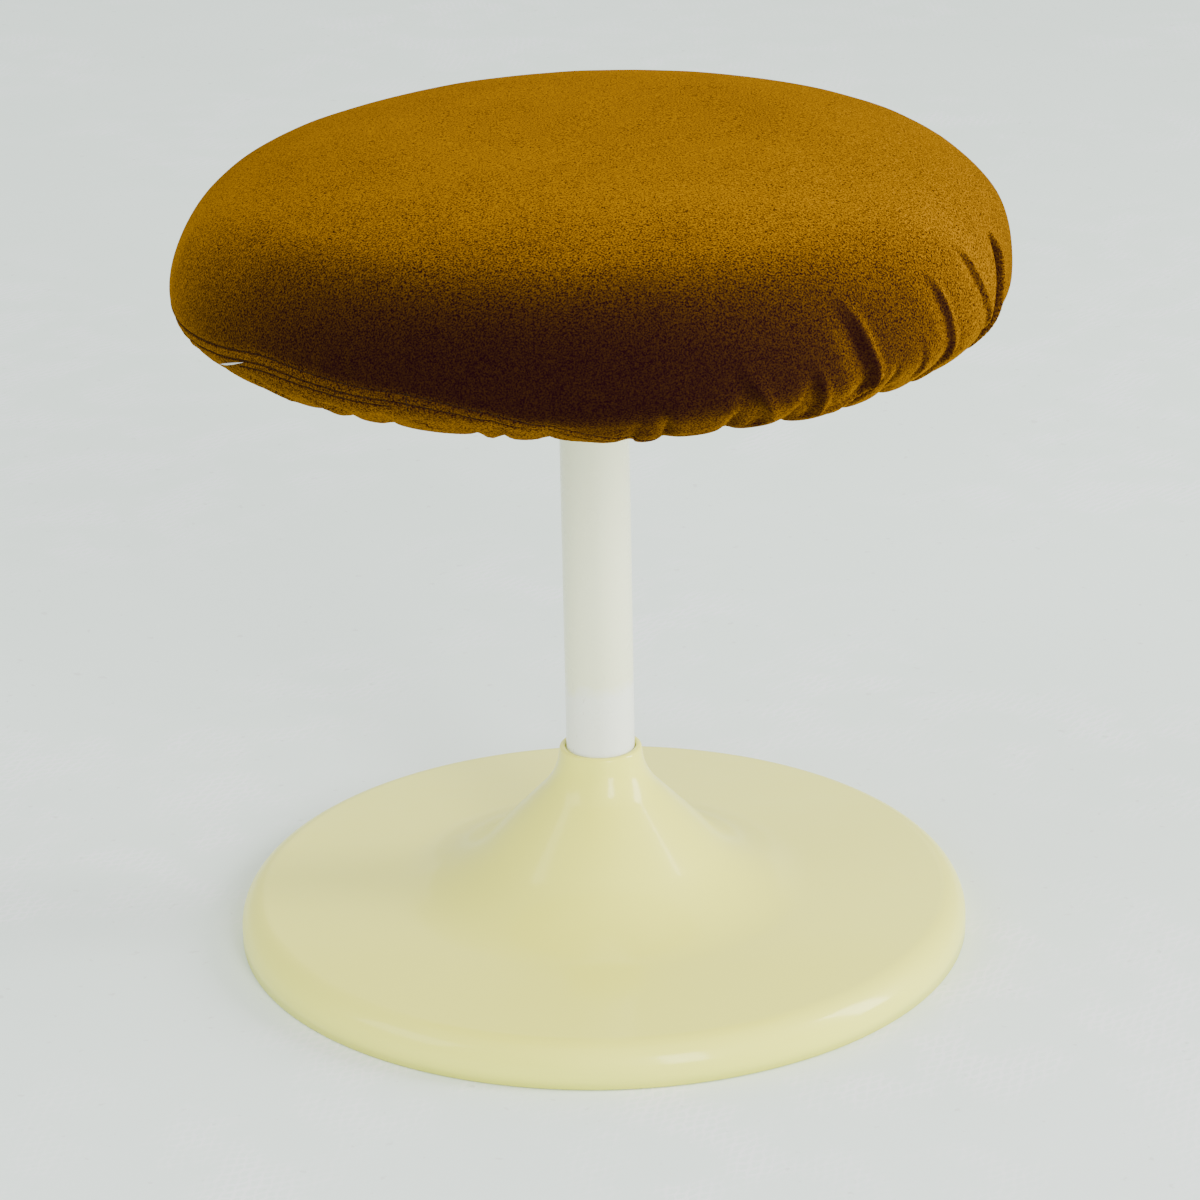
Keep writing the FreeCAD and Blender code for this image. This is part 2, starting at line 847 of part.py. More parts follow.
def gather_section(height_share, valley_share, peak_share):
    """A level ring of arcs, one for each gather of the hem."""
    round_ = sheet.get("under_round")
    depth = sheet.get("gather_depth")
    climb = round_ * height_share
    reach = math.sqrt(round_ ** 2 - (round_ - climb) ** 2)
    smooth = sheet.get("cushion_radius") - round_ + reach
    height = gather_height(height_share).value
    count = COUNTS["gathers"]

    def corner(radius, half_steps):
        angle = math.pi * half_steps / count
        return FreeCAD.Vector(radius * math.cos(angle), radius * math.sin(angle), height)

    valley = smooth - depth * valley_share
    peak = smooth + depth * peak_share
    arcs = []
    for i in range(count):
        first, middle, last = 2 * i, 2 * i + 1, 2 * i + 2
        arcs.append(Part.Arc(corner(valley, first), corner(peak, middle), corner(valley, last)))
    return Part.Wire([arc.toShape() for arc in arcs])


def side_of_cushion(height):
    """The radius and the outward slope, in radians from level, of the cushion's side at a height."""
    radius = sheet.get("cushion_radius")
    under = sheet.get("under_round")
    shoulder = shoulder_round.value
    under_centre = cover_bottom.value + under
    if height < under_centre:
        slope = math.asin((height - under_centre) / under)
        return radius - under + under * math.cos(slope), slope
    if height > shoulder_centre.value:
        slope = math.asin((height - shoulder_centre.value) / shoulder)
        return radius - shoulder + shoulder * math.cos(slope), slope
    return radius, 0.0


def fold_station(degrees, height_share):
    """A place on the side of the cushion and the direction straight out of it."""
    bottom = cover_bottom.value
    height = bottom + sheet.get("cushion_height") * height_share
    radius, slope = side_of_cushion(height)
    turn = math.radians(degrees)
    around = FreeCAD.Vector(math.sin(turn), -math.cos(turn), 0)
    place = around * radius + FreeCAD.Vector(0, 0, height)
    return place, around * math.cos(slope) + FreeCAD.Vector(0, 0, math.sin(slope))


def make_fold(strength, route):
    """A ridge of cloth that rises from the cover, through an arc and a line at each station."""
    stations = [fold_station(*row) for row in route]
    last = len(stations) - 1
    wires = []
    for i, (place, outward) in enumerate(stations):
        along = stations[min(i + 1, last)][0] - stations[max(i - 1, 0)][0]
        across = along.cross(outward).normalize()
        swell = math.sin(math.pi * i / last)
        width = END_WIDTH_SHARE + (1 - END_WIDTH_SHARE) * swell
        reach = across * (sheet.get("fold_width") / 2 * strength * width)
        sink = sheet.get("fold_sink")
        foot = place - outward * sink
        peak = place + outward * (sheet.get("fold_height") * strength * swell - sink / 2)
        arc = Part.Arc(foot - reach, peak, foot + reach)
        base = Part.LineSegment(foot + reach, foot - reach)
        wires.append(Part.Wire([arc.toShape(), base.toShape()]))
    return Part.makeLoft(wires, True, False)


def make_cover_form():
    """The outer form of the cushion: a smooth crown over a gathered lower edge."""
    blank = new_body("cushion_blank")
    turn_about(blank, "cushion_form", CUSHION_CHAIN)
    gathered = new_body("gathered_height")
    low = cover_bottom - overrun
    high = gather_height(GATHER_SHARES[-1][0])
    ring(gathered, "gathered_space", nothing, size("cushion_radius") + overrun, low, high)
    crown = doc.addObject("Part::Cut", "cushion_crown")
    crown.Base = blank
    crown.Tool = gathered
    gathers = doc.addObject("Part::Feature", "cover_gathers")
    gathers.Shape = Part.makeLoft([gather_section(*row) for row in GATHER_SHARES], True, True)
    folds = doc.addObject("Part::Feature", "cover_folds")
    folds.Shape = Part.makeCompound([make_fold(*row) for row in FOLD_SHARES])
    form = doc.addObject("Part::MultiFuse", "cover_form")
    form.Shapes = [crown, gathers, folds]
    return form


def make_seat_cover():
    """The fabric skin of the cushion, gathered under its edge into a hem with a tunnel."""
    inside = new_body("cover_inside")
    skin = inset(CUSHION_CHAIN, size("fabric_thickness"))
    under = cover_bottom - overrun
    hollow = [(nothing, under), (hem_radius, under), (hem_radius, skin[0][1])] + skin[1:]
    turn_about(inside, "cushion_hollow", hollow)
    tunnel = new_body("hem_tunnel")
    bore = size("elastic_radius") + size("fabric_gap")
    make_tunnel(tunnel, hem_radius, cover_bottom - bore, bore)
    skin_only = doc.addObject("Part::Cut", "cover_skin")
    skin_only.Base = make_cover_form()
    skin_only.Tool = inside
    cover = doc.addObject("Part::MultiFuse", "seat_cover")
    cover.Label = "seat_cover"
    cover.Shapes = [skin_only, tunnel]
    return cover


def make_tunnel(body, centre_radius, centre_height, bore):
    """A closed round tunnel of cloth, revolved from two circles."""
    sketch = new_sketch(body, "tunnel_circles")
    centre = FreeCAD.Vector(centre_radius.value, centre_height.value, 0)
    for radius in (bore, bore + size("hem_tunnel_wall")):
        circle = Part.Circle(centre, FreeCAD.Vector(0, 0, 1), radius.value)
        index = sketch.addGeometry(circle, False)
        place_point(sketch, index, CENTRE_POINT_INDEX, centre_radius, centre_height)
        tie(sketch, "Radius", index, value=radius)
    feature = body.newObject("PartDesign::Revolution", "tunnel")
    feature.Profile = sketch
    feature.ReferenceAxis = (sketch, ["V_Axis"])
    feature.Angle = FULL_TURN_DEGREES
    body.Tip = feature


def make_hem_elastic():
    elastic = doc.addObject("Part::Torus", "hem_elastic")
    elastic.Label = "hem_elastic"
    elastic.setExpression("Radius1", hem_radius.text)
    elastic.setExpression("Radius2", size("elastic_radius").text)
    height = cover_bottom - size("elastic_radius") - size("fabric_gap")
    elastic.setExpression("Placement.Base.z", height.text)
    return elastic


flange_bolts = make_screw_group(
    "flange_bolts",
    flange_bolt_circle_radius,
    COUNTS["flange_bolts"],
    radius=size("flange_bolt_radius"),
    length=size("plate_thickness") - size("counterbore_depth") + size("flange_bolt_grip"),
    head_radius=size("flange_bolt_head_radius"),
    head_height=size("flange_bolt_head_height"),
    seat=plate_bottom + size("counterbore_depth"),
)
shell_screws = make_screw_group(
    "shell_screws",
    boss_circle_radius,
    COUNTS["shell_bosses"],
    radius=size("shell_screw_radius"),
    length=size("plate_thickness") + size("shell_screw_grip"),
    head_radius=size("shell_screw_head_radius"),
    head_height=size("shell_screw_head_height"),
    seat=plate_bottom,
)
seat_bolts = make_screw_group(
    "seat_bolts",
    seat_bolt_circle_radius,
    COUNTS["seat_bolts"],
    radius=size("bolt_radius"),
    length=size("bolt_length"),
    head_radius=size("bolt_head_radius"),
    head_height=size("bolt_head_height"),
    seat=seat_plate_bottom - size("bolt_washer_thickness"),
)
NODES = [
    make_base_shell(),
    make_ballast_plate(),
    make_felt_ring(),
    make_foot_flange(),
    flange_bolts,
    shell_screws,
    make_column_tube(),
    make_upper_bush(),
    make_lower_bush(),
    make_thrust_washer(),
    make_spindle(),
    make_retaining_clip(),
    make_seat_plate(),
    seat_bolts,
    make_bolt_washers(),
    make_tee_nuts(),
    make_seat_board(),
    make_foam_pad(),
    make_seat_cover(),
    make_hem_elastic(),
]
doc.recompute()

for item in doc.Objects:
    if "Invalid" in item.State or "Error" in item.State:
        raise ValueError(f"{item.Label} did not build: {item.State}")
for node in NODES:
    if node.Shape.isNull() or not node.Shape.isValid():
        raise ValueError(f"{node.Label} has no valid shape")
os.makedirs("parts", exist_ok=True)
for node in NODES:
    node.Shape.exportStep(f"parts/{node.Label}.step")
    print(f"{node.Label}: {len(node.Shape.Solids)} solids, {node.Shape.Volume:.0f} cubic mm")
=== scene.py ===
"""The looks of a tulip stool: a moulded trumpet base, a lacquered column and a cushion in a
loose velour cover that is gathered underneath. Lengths are metres; MM turns millimetres into
metres. The front is -Y and the floor is at z = 0."""

import json
import math
import random

import bmesh
import bpy
from mathutils import Matrix, Vector, noise


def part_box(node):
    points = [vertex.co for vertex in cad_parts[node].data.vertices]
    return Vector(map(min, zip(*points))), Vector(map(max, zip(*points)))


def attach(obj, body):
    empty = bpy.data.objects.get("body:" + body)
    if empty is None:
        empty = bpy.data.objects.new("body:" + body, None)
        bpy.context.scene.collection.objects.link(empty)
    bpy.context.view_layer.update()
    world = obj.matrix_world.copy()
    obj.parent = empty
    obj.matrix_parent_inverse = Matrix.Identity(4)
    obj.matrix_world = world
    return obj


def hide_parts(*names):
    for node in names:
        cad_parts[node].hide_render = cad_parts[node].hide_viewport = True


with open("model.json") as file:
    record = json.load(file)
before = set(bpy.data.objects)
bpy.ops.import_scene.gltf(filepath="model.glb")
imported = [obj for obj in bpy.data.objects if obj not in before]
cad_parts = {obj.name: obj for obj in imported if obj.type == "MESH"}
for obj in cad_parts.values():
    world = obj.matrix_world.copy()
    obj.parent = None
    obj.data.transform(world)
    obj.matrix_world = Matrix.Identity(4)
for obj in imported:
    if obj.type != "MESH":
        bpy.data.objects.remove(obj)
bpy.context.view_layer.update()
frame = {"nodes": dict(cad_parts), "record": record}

MM = 0.001
FULL_TURN = math.tau

# Sizes of the rigid pieces, the same as in the frame
BASE_RADIUS = 187.5 * MM
FLOOR_GAP = 0.9 * MM
RIM_HEIGHT = 21.6 * MM
SHELL_WALL = 3.2 * MM
SLEEVE_BORE = 18.2 * MM
SLEEVE_WALL = 2.4 * MM
SLEEVE_END = 52.0 * MM
COLLAR_TOP = 100.0 * MM
PLATE_TOP = 9.0 * MM
TUBE_RADIUS = 17.5 * MM
TUBE_WALL = 2.0 * MM
TUBE_TOP = 320.0 * MM

BASE_OUTLINE = [
    (BASE_RADIUS, FLOOR_GAP),
    (BASE_RADIUS, RIM_HEIGHT, 14.5 * MM),
    (78.9 * MM, 25.6 * MM, 72.0 * MM),
    (22.9 * MM, 84.2 * MM, 34.0 * MM),
    (20.9 * MM, COLLAR_TOP, 1.6 * MM),
    (SLEEVE_BORE, COLLAR_TOP),
]

# Sizes of the cushion. It is the cover of the frame with a softer crown and a lower edge drawn
# in closer round the board.
CUSHION_RADIUS = 205.0 * MM
CUSHION_TOP = 428.3 * MM
COVER_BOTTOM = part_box("seat_board")[0][2] - 2.1 * MM
HEM_RADIUS = 126.0 * MM
CLOTH = 1.8 * MM
CUSHION_OUTLINE = [
    (0.0, CUSHION_TOP),
    (40.0 * MM, CUSHION_TOP, 500.0 * MM),
    (125.0 * MM, 424.8 * MM, 260.0 * MM),
    (CUSHION_RADIUS, 394.3 * MM, 58.0 * MM),
    (CUSHION_RADIUS, 346.1 * MM, 16.0 * MM),
    (184.5 * MM, COVER_BOTTOM, 6.0 * MM),
    (HEM_RADIUS, COVER_BOTTOM),
]
FINE_STEP = 0.5 * MM


def rounded(corners, step):
    """The points of an outline of straight runs, with an arc at each corner that has a round."""
    points = [Vector(corners[0][:2])]
    for before, corner, after in zip(corners, corners[1:], corners[2:]):
        place = Vector(corner[:2])
        if len(corner) < 3:
            points.append(place)
            continue
        back = (Vector(before[:2]) - place).normalized()
        ahead = (Vector(after[:2]) - place).normalized()
        half = back.angle(ahead) / 2
        reach = corner[2] / math.tan(half)
        centre = place + (back + ahead).normalized() * (corner[2] / math.sin(half))
        start = place + back * reach - centre
        turn = start.angle_signed(place + ahead * reach - centre)
        count = max(3, math.ceil(abs(turn) * corner[2] / step))
        for i in range(count + 1):
            spoke = start.copy()
            spoke.rotate(Matrix.Rotation(-turn * i / count, 2))
            points.append(centre + spoke)
    points.append(Vector(corners[-1][:2]))
    return points


def even_runs(points, step):
    """The same outline with its long straight runs cut into steps."""
    result = [points[0]]
    for first, last in zip(points, points[1:]):
        count = max(1, round((last - first).length / step))
        result += [first.lerp(last, (i + 1) / count) for i in range(count)]
    return result


def offset(points, distance):
    """An outline moved to the left of its direction of travel."""
    moved = []
    for i, point in enumerate(points):
        along = points[min(i + 1, len(points) - 1)] - points[max(i - 1, 0)]
        along.normalize()
        moved.append(point + Vector((-along.y, along.x)) * distance)
    return moved


def finish_mesh(name, bm, body, *replaced, slot=None):
    """Makes a piece of a bmesh, hangs it under its body's empty and hides the frame's nodes it
    replaces.
    """
    bmesh.ops.remove_doubles(bm, verts=bm.verts, dist=1e-7)
    bmesh.ops.recalc_face_normals(bm, faces=bm.faces)
    for face in bm.faces:
        face.smooth = True
    mesh = bpy.data.meshes.new(name)
    bm.to_mesh(mesh)
    bm.free()
    piece = bpy.data.objects.new(name, mesh)
    bpy.context.scene.collection.objects.link(piece)
    if body:
        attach(piece, body)
    if replaced:
        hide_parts(*replaced)
    return piece


def spin_outline(bm, points, steps):
    """A solid of revolution with this closed section, each point a radius and a height."""
    verts = [bm.verts.new((p.x, 0.0, p.y)) for p in points]
    edges = [bm.edges.new(pair) for pair in zip(verts, verts[1:] + verts[:1])]
    bmesh.ops.spin(
        bm,
        geom=verts + edges,
        cent=(0, 0, 0),
        axis=(0, 0, 1),
        angle=FULL_TURN,
        steps=steps,
        use_merge=True,
    )


# Trumpet base
ROUND_STEPS = 256
ROUND_ARC = 1.5 * MM
RIB_COUNT = 6
RIB_HALF = 1.2 * MM
RIB_START = 48.4 * MM
RIB_END = 164.0 * MM
RIB_LOW = 9.6 * MM
BOSS_RADIUS = 5.0 * MM
BOSS_HOLE = 2.1 * MM
BOSS_CIRCLE = 138.0 * MM
BOSS_TOP = 22.0 * MM
BOSS_COUNT = 4
BOSS_STEPS = 24


def make_base():
    """One wall with a sleeve round the tube, and ribs and bosses that run up into the wall."""
    outer = rounded(BASE_OUTLINE, ROUND_ARC)
    inner = [p for p in offset(outer[:-1], SHELL_WALL) if p.x > SLEEVE_BORE + SLEEVE_WALL]
    middle = offset(outer, SHELL_WALL / 2)
    sleeve = SLEEVE_BORE + SLEEVE_WALL
    section = outer + [Vector((SLEEVE_BORE, SLEEVE_END)), Vector((sleeve, SLEEVE_END))]
    section += [Vector((sleeve, inner[-1].y))] + inner[::-1]
    bm = bmesh.new()
    for i in range(BOSS_COUNT):
        add_boss(bm, FULL_TURN * (i + 0.5) / BOSS_COUNT)
    top = [p for p in middle if RIB_START < p.x < RIB_END]
    for i in range(RIB_COUNT):
        add_rib(bm, top, FULL_TURN * i / RIB_COUNT)
    spin_outline(bm, section, ROUND_STEPS)
    return finish_mesh("base_moulding", bm, "base", "base_shell", slot="cream_plastic")


def add_rib(bm, top, turn):
    """An upright plate under the wall, from the flange outwards, with this upper edge."""
    outline = [Vector((RIB_START, RIB_LOW)), Vector((RIB_END, RIB_LOW))] + top
    turned = Matrix.Rotation(turn, 4, "Z")
    verts = [bm.verts.new(turned @ Vector((p.x, -RIB_HALF, p.y))) for p in outline]
    face = bm.faces.new(verts)
    grown = bmesh.ops.extrude_face_region(bm, geom=[face])
    side = turned @ Vector((0, RIB_HALF * 2, 0))
    moved = [v for v in grown["geom"] if isinstance(v, bmesh.types.BMVert)]
    bmesh.ops.translate(bm, vec=side, verts=moved)


def add_boss(bm, turn):
    """A round boss for a screw, turned in the middle and then moved out to its place."""
    section = [
        Vector((BOSS_HOLE, PLATE_TOP)),
        Vector((BOSS_RADIUS, PLATE_TOP)),
        Vector((BOSS_RADIUS, BOSS_TOP)),
        Vector((BOSS_HOLE, BOSS_TOP)),
    ]
    before = set(bm.verts)
    spin_outline(bm, section, BOSS_STEPS)
    place = Vector((BOSS_CIRCLE * math.cos(turn), BOSS_CIRCLE * math.sin(turn), 0))
    bmesh.ops.translate(bm, vec=place, verts=[v for v in bm.verts if v not in before])


COLUMN_STEPS = 128
COLUMN_RING = 20.0 * MM


def make_column():
    lip = 0.4 * MM
    inner = TUBE_RADIUS - TUBE_WALL
    section = rounded(
        [
            (TUBE_RADIUS - TUBE_WALL / 2, PLATE_TOP),
            (TUBE_RADIUS, PLATE_TOP, lip),
            (TUBE_RADIUS, TUBE_TOP, lip),
            (inner, TUBE_TOP, lip),
            (inner, PLATE_TOP),
        ],
        lip / 2,
    )
    bm = bmesh.new()
    spin_outline(bm, even_runs(section, COLUMN_RING), COLUMN_STEPS)
    return finish_mesh("column_lacquered", bm, "base", "column_tube", slot="white_lacquer")


# Cushion surface. A place on it is a turn from the front towards +X, and a run, the length
# along the outline from the middle of the crown. The underside lies inside UNDER_RADIUS.
OUTLINE_POINTS = even_runs(rounded(CUSHION_OUTLINE, FINE_STEP), FINE_STEP)
OUTLINE_RUNS = [0.0]
for first, last in zip(OUTLINE_POINTS, OUTLINE_POINTS[1:]):
    OUTLINE_RUNS.append(OUTLINE_RUNS[-1] + (last - first).length)
WHOLE_RUN = OUTLINE_RUNS[-1]
UNDER_RADIUS = 182.0 * MM
UNDER_RUN = WHOLE_RUN - (UNDER_RADIUS - HEM_RADIUS)


def on_outline(run):
    """The point of the outline at a run, and the direction straight out of the cushion."""
    low, high = 0, len(OUTLINE_RUNS) - 1
    while high - low > 1:
        middle = (low + high) // 2
        if OUTLINE_RUNS[middle] > run:
            high = middle
        else:
            low = middle
    first, last = OUTLINE_POINTS[low], OUTLINE_POINTS[high]
    share = (run - OUTLINE_RUNS[low]) / (OUTLINE_RUNS[high] - OUTLINE_RUNS[low])
    back = OUTLINE_POINTS[max(low - 2, 0)]
    ahead = OUTLINE_POINTS[min(high + 2, len(OUTLINE_POINTS) - 1)]
    along = (ahead - back).normalized()
    return first.lerp(last, share), Vector((-along.y, along.x))


def ease(low, high, value):
    """Rises smoothly from 0 at low to 1 at high."""
    share = min(1.0, max(0.0, (value - low) / (high - low)))
    return share * share * (3 - 2 * share)


def bell(distance, width):
    return math.exp(-((distance / width) ** 2))


def turn_gap(first, second):
    """The turn in degrees from second to first, between -180 and 180."""
    return (first - second + 180) % 360 - 180


# The stitched band lies along the side on the left and slips under the edge at the front.
# Each knot is a turn in degrees and the run, in mm, of the upper row of stitches there.
BAND_KNOTS = [
    (-180, 250), (-140, 244), (-105, 242), (-75, 244), (-59.4, 239.5), (-48.4, 235), (-41, 236.5),
    (-31, 239), (-24.6, 239.2), (-18, 242.5), (-11.6, 247.5), (-4.2, 256.5), (4.6, 268), (14, 274),
    (36, 277), (90, 277), (130, 272), (180, 250),
]
ROW_OFFSETS = (0.0, 4.4 * MM, 7.4 * MM)
THIRD_ROW_TURNS = (-53, -27)
BAND_WIDTH = 9.0 * MM


def band_run(turn):
    """The run of the upper row of stitches, along a smooth curve through the knots."""
    turn = turn_gap(turn, 0)
    last = len(BAND_KNOTS) - 1
    for i in range(last):
        if turn <= BAND_KNOTS[i + 1][0]:
            break
    before, first = BAND_KNOTS[max(i - 1, 0)], BAND_KNOTS[i]
    second, after = BAND_KNOTS[i + 1], BAND_KNOTS[min(i + 2, last)]
    width = second[0] - first[0]
    share = (turn - first[0]) / width
    slope_a = (second[1] - before[1]) / (second[0] - before[0]) * width
    slope_b = (after[1] - first[1]) / (after[0] - first[0]) * width
    square, cube = share ** 2, share ** 3
    run = (2 * cube - 3 * square + 1) * first[1] + (cube - 2 * square + share) * slope_a
    run += (3 * square - 2 * cube) * second[1] + (cube - square) * slope_b
    return run * MM


# Gathers under the edge: creases at uneven turns, with rounded puffs between them
GATHER_COUNT = 46
GATHER_SEED = 11


def make_gathers():
    """Each crease has a turn, a strength, a slant and a height that it climbs to."""
    draw = random.Random(GATHER_SEED)
    creases = []
    for i in range(GATHER_COUNT):
        turn = -180 + 360 * (i + draw.uniform(0.15, 0.85)) / GATHER_COUNT
        climb = draw.uniform(12, 26) * MM
        creases.append((turn, draw.uniform(0.45, 1.0), draw.uniform(-14, 14), climb))
    return creases


GATHERS = make_gathers()
PUFF_HEIGHT = 2.4 * MM
PUFF_ROUND = 2.4
CREASE_DEPTH = 1.1 * MM
CREASE_SPREAD = 1.0
GATHER_EDGE = UNDER_RUN - 16 * MM
GATHER_START = GATHER_EDGE - 27 * MM


def gather_depth(turn, run):
    """How far the gathered cloth stands out at a place near or under the edge."""
    if run < GATHER_START:
        return 0.0
    under = ease(UNDER_RUN - 6 * MM, UNDER_RUN + 4 * MM, run)
    index = int((turn + 180) / 360 * GATHER_COUNT) % GATHER_COUNT
    if turn < GATHERS[index][0]:
        index -= 1
    before, after = GATHERS[index], GATHERS[(index + 1) % GATHER_COUNT]
    lean = (run - GATHER_EDGE) / CUSHION_RADIUS
    left = turn_gap(turn, before[0] + before[2] * lean)
    right = turn_gap(after[0] + after[2] * lean, turn)
    share = min(1.0, max(0.0, left / max(left + right, 0.1)))
    strength = before[1] * (1 - share) + after[1] * share
    climb = before[3] * (1 - share) + after[3] * share
    rise = ease(GATHER_EDGE - climb, GATHER_EDGE + 8 * MM, run)
    puff = 1 - abs(2 * share - 1) ** PUFF_ROUND
    crease = (1 - under) * CREASE_DEPTH * bell(min(left, right), CREASE_SPREAD)
    return rise * strength * (PUFF_HEIGHT * puff - crease)


def side_arc(turn):
    """The length in mm of a turn in degrees, round the side of the cushion."""
    return math.radians(turn) * CUSHION_RADIUS / MM


class Crease:
    """A fold of the cloth along a route of places, each a turn in degrees and a run in mm.

    A ridge lies on the route and a valley beside it, steep towards the ridge and gentle away
    from it. The ridge has a height, and a width on the valley's side and on the other. The
    valley has a depth, a place across the route, and a steep and a gentle width. Lengths are
    mm, and across the route counts to the right of its direction seen from outside. It fades
    in and out over two lengths.
    """

    def __init__(self, route, ridge, valley, fade):
        self.points = [(side_arc(turn), run) for turn, run in route]
        self.height, self.near_side, self.far_side = ridge
        self.depth, self.beside, self.steep, self.gentle = valley
        self.fade = fade
        self.margin = abs(self.beside) + 3 * max(self.gentle, self.far_side)
        self.low = min(x for x, y in self.points) - self.margin
        self.high = max(x for x, y in self.points) + self.margin
        self.top = self.points[0][1] - self.margin
        self.length = sum(math.dist(a, b) for a, b in zip(self.points, self.points[1:]))

    def stand(self, x, y):
        """How far the cloth stands out at a place in mm along the turn and the run."""
        if not self.low < x < self.high or y < self.top:
            return 0.0
        nearest, across, along, travelled = 1e9, 0.0, 0.0, 0.0
        for (ax, ay), (bx, by) in zip(self.points, self.points[1:]):
            dx, dy = bx - ax, by - ay
            length = math.hypot(dx, dy)
            share = min(1.0, max(0.0, ((x - ax) * dx + (y - ay) * dy) / length ** 2))
            gap = math.hypot(x - ax - dx * share, y - ay - dy * share)
            if gap < nearest:
                nearest = gap
                side = (x - ax) * dy - (y - ay) * dx
                across = math.copysign(gap, side)
                along = travelled + share * length
            travelled += length
        fade_in, fade_out = self.fade
        strength = ease(0, fade_in, along) * (1 - ease(self.length - fade_out, self.length, along))
        ridge_width = self.near_side if across * self.beside > 0 else self.far_side
        beyond = (across - self.beside) * self.beside > 0
        valley = self.depth * bell(across - self.beside, self.gentle if beyond else self.steep)
        return strength * (self.height * bell(across, ridge_width) - valley)


# The folds of the front, from the one at the right end: the long folds and the tuck with its
# loop, the smaller ones between them, and those on the left, above and below the band
CREASES = [
    Crease([(73.0, 206), (73.0, 214), (72.4, 221), (71.2, 231), (69.4, 242), (66.6, 258),
            (65.2, 269)],
           ridge=(2.4, 1.8, 3.6), valley=(5.4, -2.2, 2.0, 2.6), fade=(17, 9)),
    Crease([(60.2, 200), (61.6, 210), (63.2, 225.5), (65.4, 242), (66.0, 254)],
           ridge=(1.1, 1.3, 2.6), valley=(1.0, -3.5, 1.9, 5.0), fade=(18, 8)),
    Crease([(50.0, 206), (51.8, 214), (53.2, 228), (54.0, 241), (54.4, 258)],
           ridge=(1.2, 1.6, 2.8), valley=(1.0, -4.1, 2.3, 5.4), fade=(20, 8)),
    Crease([(32.4, 202), (34.2, 208), (35.8, 216), (37.6, 232.5), (39.0, 244), (39.8, 256)],
           ridge=(1.9, 2.2, 3.0), valley=(2.2, -6.8, 3.2, 7.0), fade=(34, 3)),
    Crease([(39.8, 248), (39.2, 254), (37.8, 260), (35.6, 264), (32.0, 265.5)],
           ridge=(2.6, 2.8, 2.6), valley=(5.4, 1.8, 2.0, 2.2), fade=(5, 4)),
    Crease([(18.4, 224), (19.6, 234), (21.4, 243), (23.6, 255), (25.0, 268)],
           ridge=(1.4, 2.2, 3.0), valley=(2.2, -5.6, 3.0, 6.2), fade=(28, 4)),
    Crease([(28.2, 230), (30.0, 241), (31.2, 253), (32.0, 268)],
           ridge=(1.3, 2.0, 2.8), valley=(2.2, -5.0, 2.6, 5.6), fade=(24, 4)),
    Crease([(8.5, 240), (9.8, 250), (10.8, 260), (11.0, 270)],
           ridge=(1.0, 2.4, 6.0), valley=(1.4, -3.4, 2.4, 4.5), fade=(16, 6)),
    Crease([(42.6, 240), (44.0, 252), (44.6, 266)],
           ridge=(0.9, 1.8, 4.0), valley=(1.2, -2.6, 1.8, 3.0), fade=(14, 6)),
    Crease([(47.4, 236), (48.6, 248), (49.0, 262)],
           ridge=(0.8, 1.6, 4.0), valley=(0.7, -2.4, 1.6, 3.0), fade=(14, 6)),
    Crease([(-38.4, 216), (-37.8, 226), (-37.2, 237)],
           ridge=(0.3, 3.0, 5.0), valley=(0.7, -3.0, 2.4, 3.4), fade=(10, 6)),
    Crease([(-33.6, 216), (-33.0, 226), (-32.2, 238)],
           ridge=(0.4, 3.0, 5.0), valley=(0.9, -3.0, 2.4, 3.6), fade=(10, 6)),
    Crease([(-54.0, 250), (-50.5, 255), (-47.6, 262), (-46.4, 270)],
           ridge=(0.9, 1.8, 4.4), valley=(0.9, 2.8, 1.8, 2.8), fade=(8, 6)),
    Crease([(-42.5, 250), (-39.6, 256), (-37.8, 263), (-36.6, 270)],
           ridge=(0.9, 1.8, 4.6), valley=(0.8, 2.6, 1.8, 2.8), fade=(8, 6)),
    Crease([(-26.0, 253), (-23.4, 259), (-21.0, 267)],
           ridge=(0.7, 1.8, 4.0), valley=(0.7, 2.6, 1.8, 2.8), fade=(8, 6)),
    Crease([(-14.0, 256), (-12.0, 262), (-10.6, 269)],
           ridge=(0.7, 1.8, 4.0), valley=(0.7, 2.6, 1.8, 2.8), fade=(8, 6)),
]
CREASE_TURNS = (-60.0, 84.0)
CREASE_START = 175.0 * MM


def crease_depth(turn, run):
    """How far all the folds of the side push the cloth in or out at a place."""
    if run < CREASE_START or not CREASE_TURNS[0] < turn < CREASE_TURNS[1]:
        return 0.0
    x, y = side_arc(turn), run / MM
    return sum(crease.stand(x, y) for crease in CREASES) * MM


# Where the stuffing is fuller or pulled in: turn, spread in degrees, run, spread of the run in
# mm, and how far it stands out in mm
FULLNESS = [
    (5, 9, 268, 12, 2.0),
    (33, 9, 266, 13, 2.4),
    (58, 10, 258, 16, 2.0),
    (20, 6, 262, 14, -0.8),
    (60, 22, 240, 30, 0.8),
    (150, 30, 250, 25, -1.2),
    (-150, 30, 215, 30, 1.0),
    (-90, 14, 242, 18, 1.8),
    (92, 16, 215, 14, 1.4),
]
# The cushion sits a little tilted, higher on the right, and a little to the right
TILT_RISE = 3.1 * MM
SHIFT_RIGHT = 0.6 * MM


def fullness(turn, run):
    if run < CREASE_START:
        return 0.0
    total = 0.0
    for centre, spread, place, reach, height in FULLNESS:
        total += height * bell(turn_gap(turn, centre), spread) * bell(run / MM - place, reach)
    return total * MM


GROOVE_DEPTH = 0.9 * MM
GROOVE_WIDTH = 0.6 * MM
BAND_PUFF = 0.35 * MM
BAND_RUNS = (225.0 * MM, 290.0 * MM)
PUCKERS_PER_RADIAN = 330


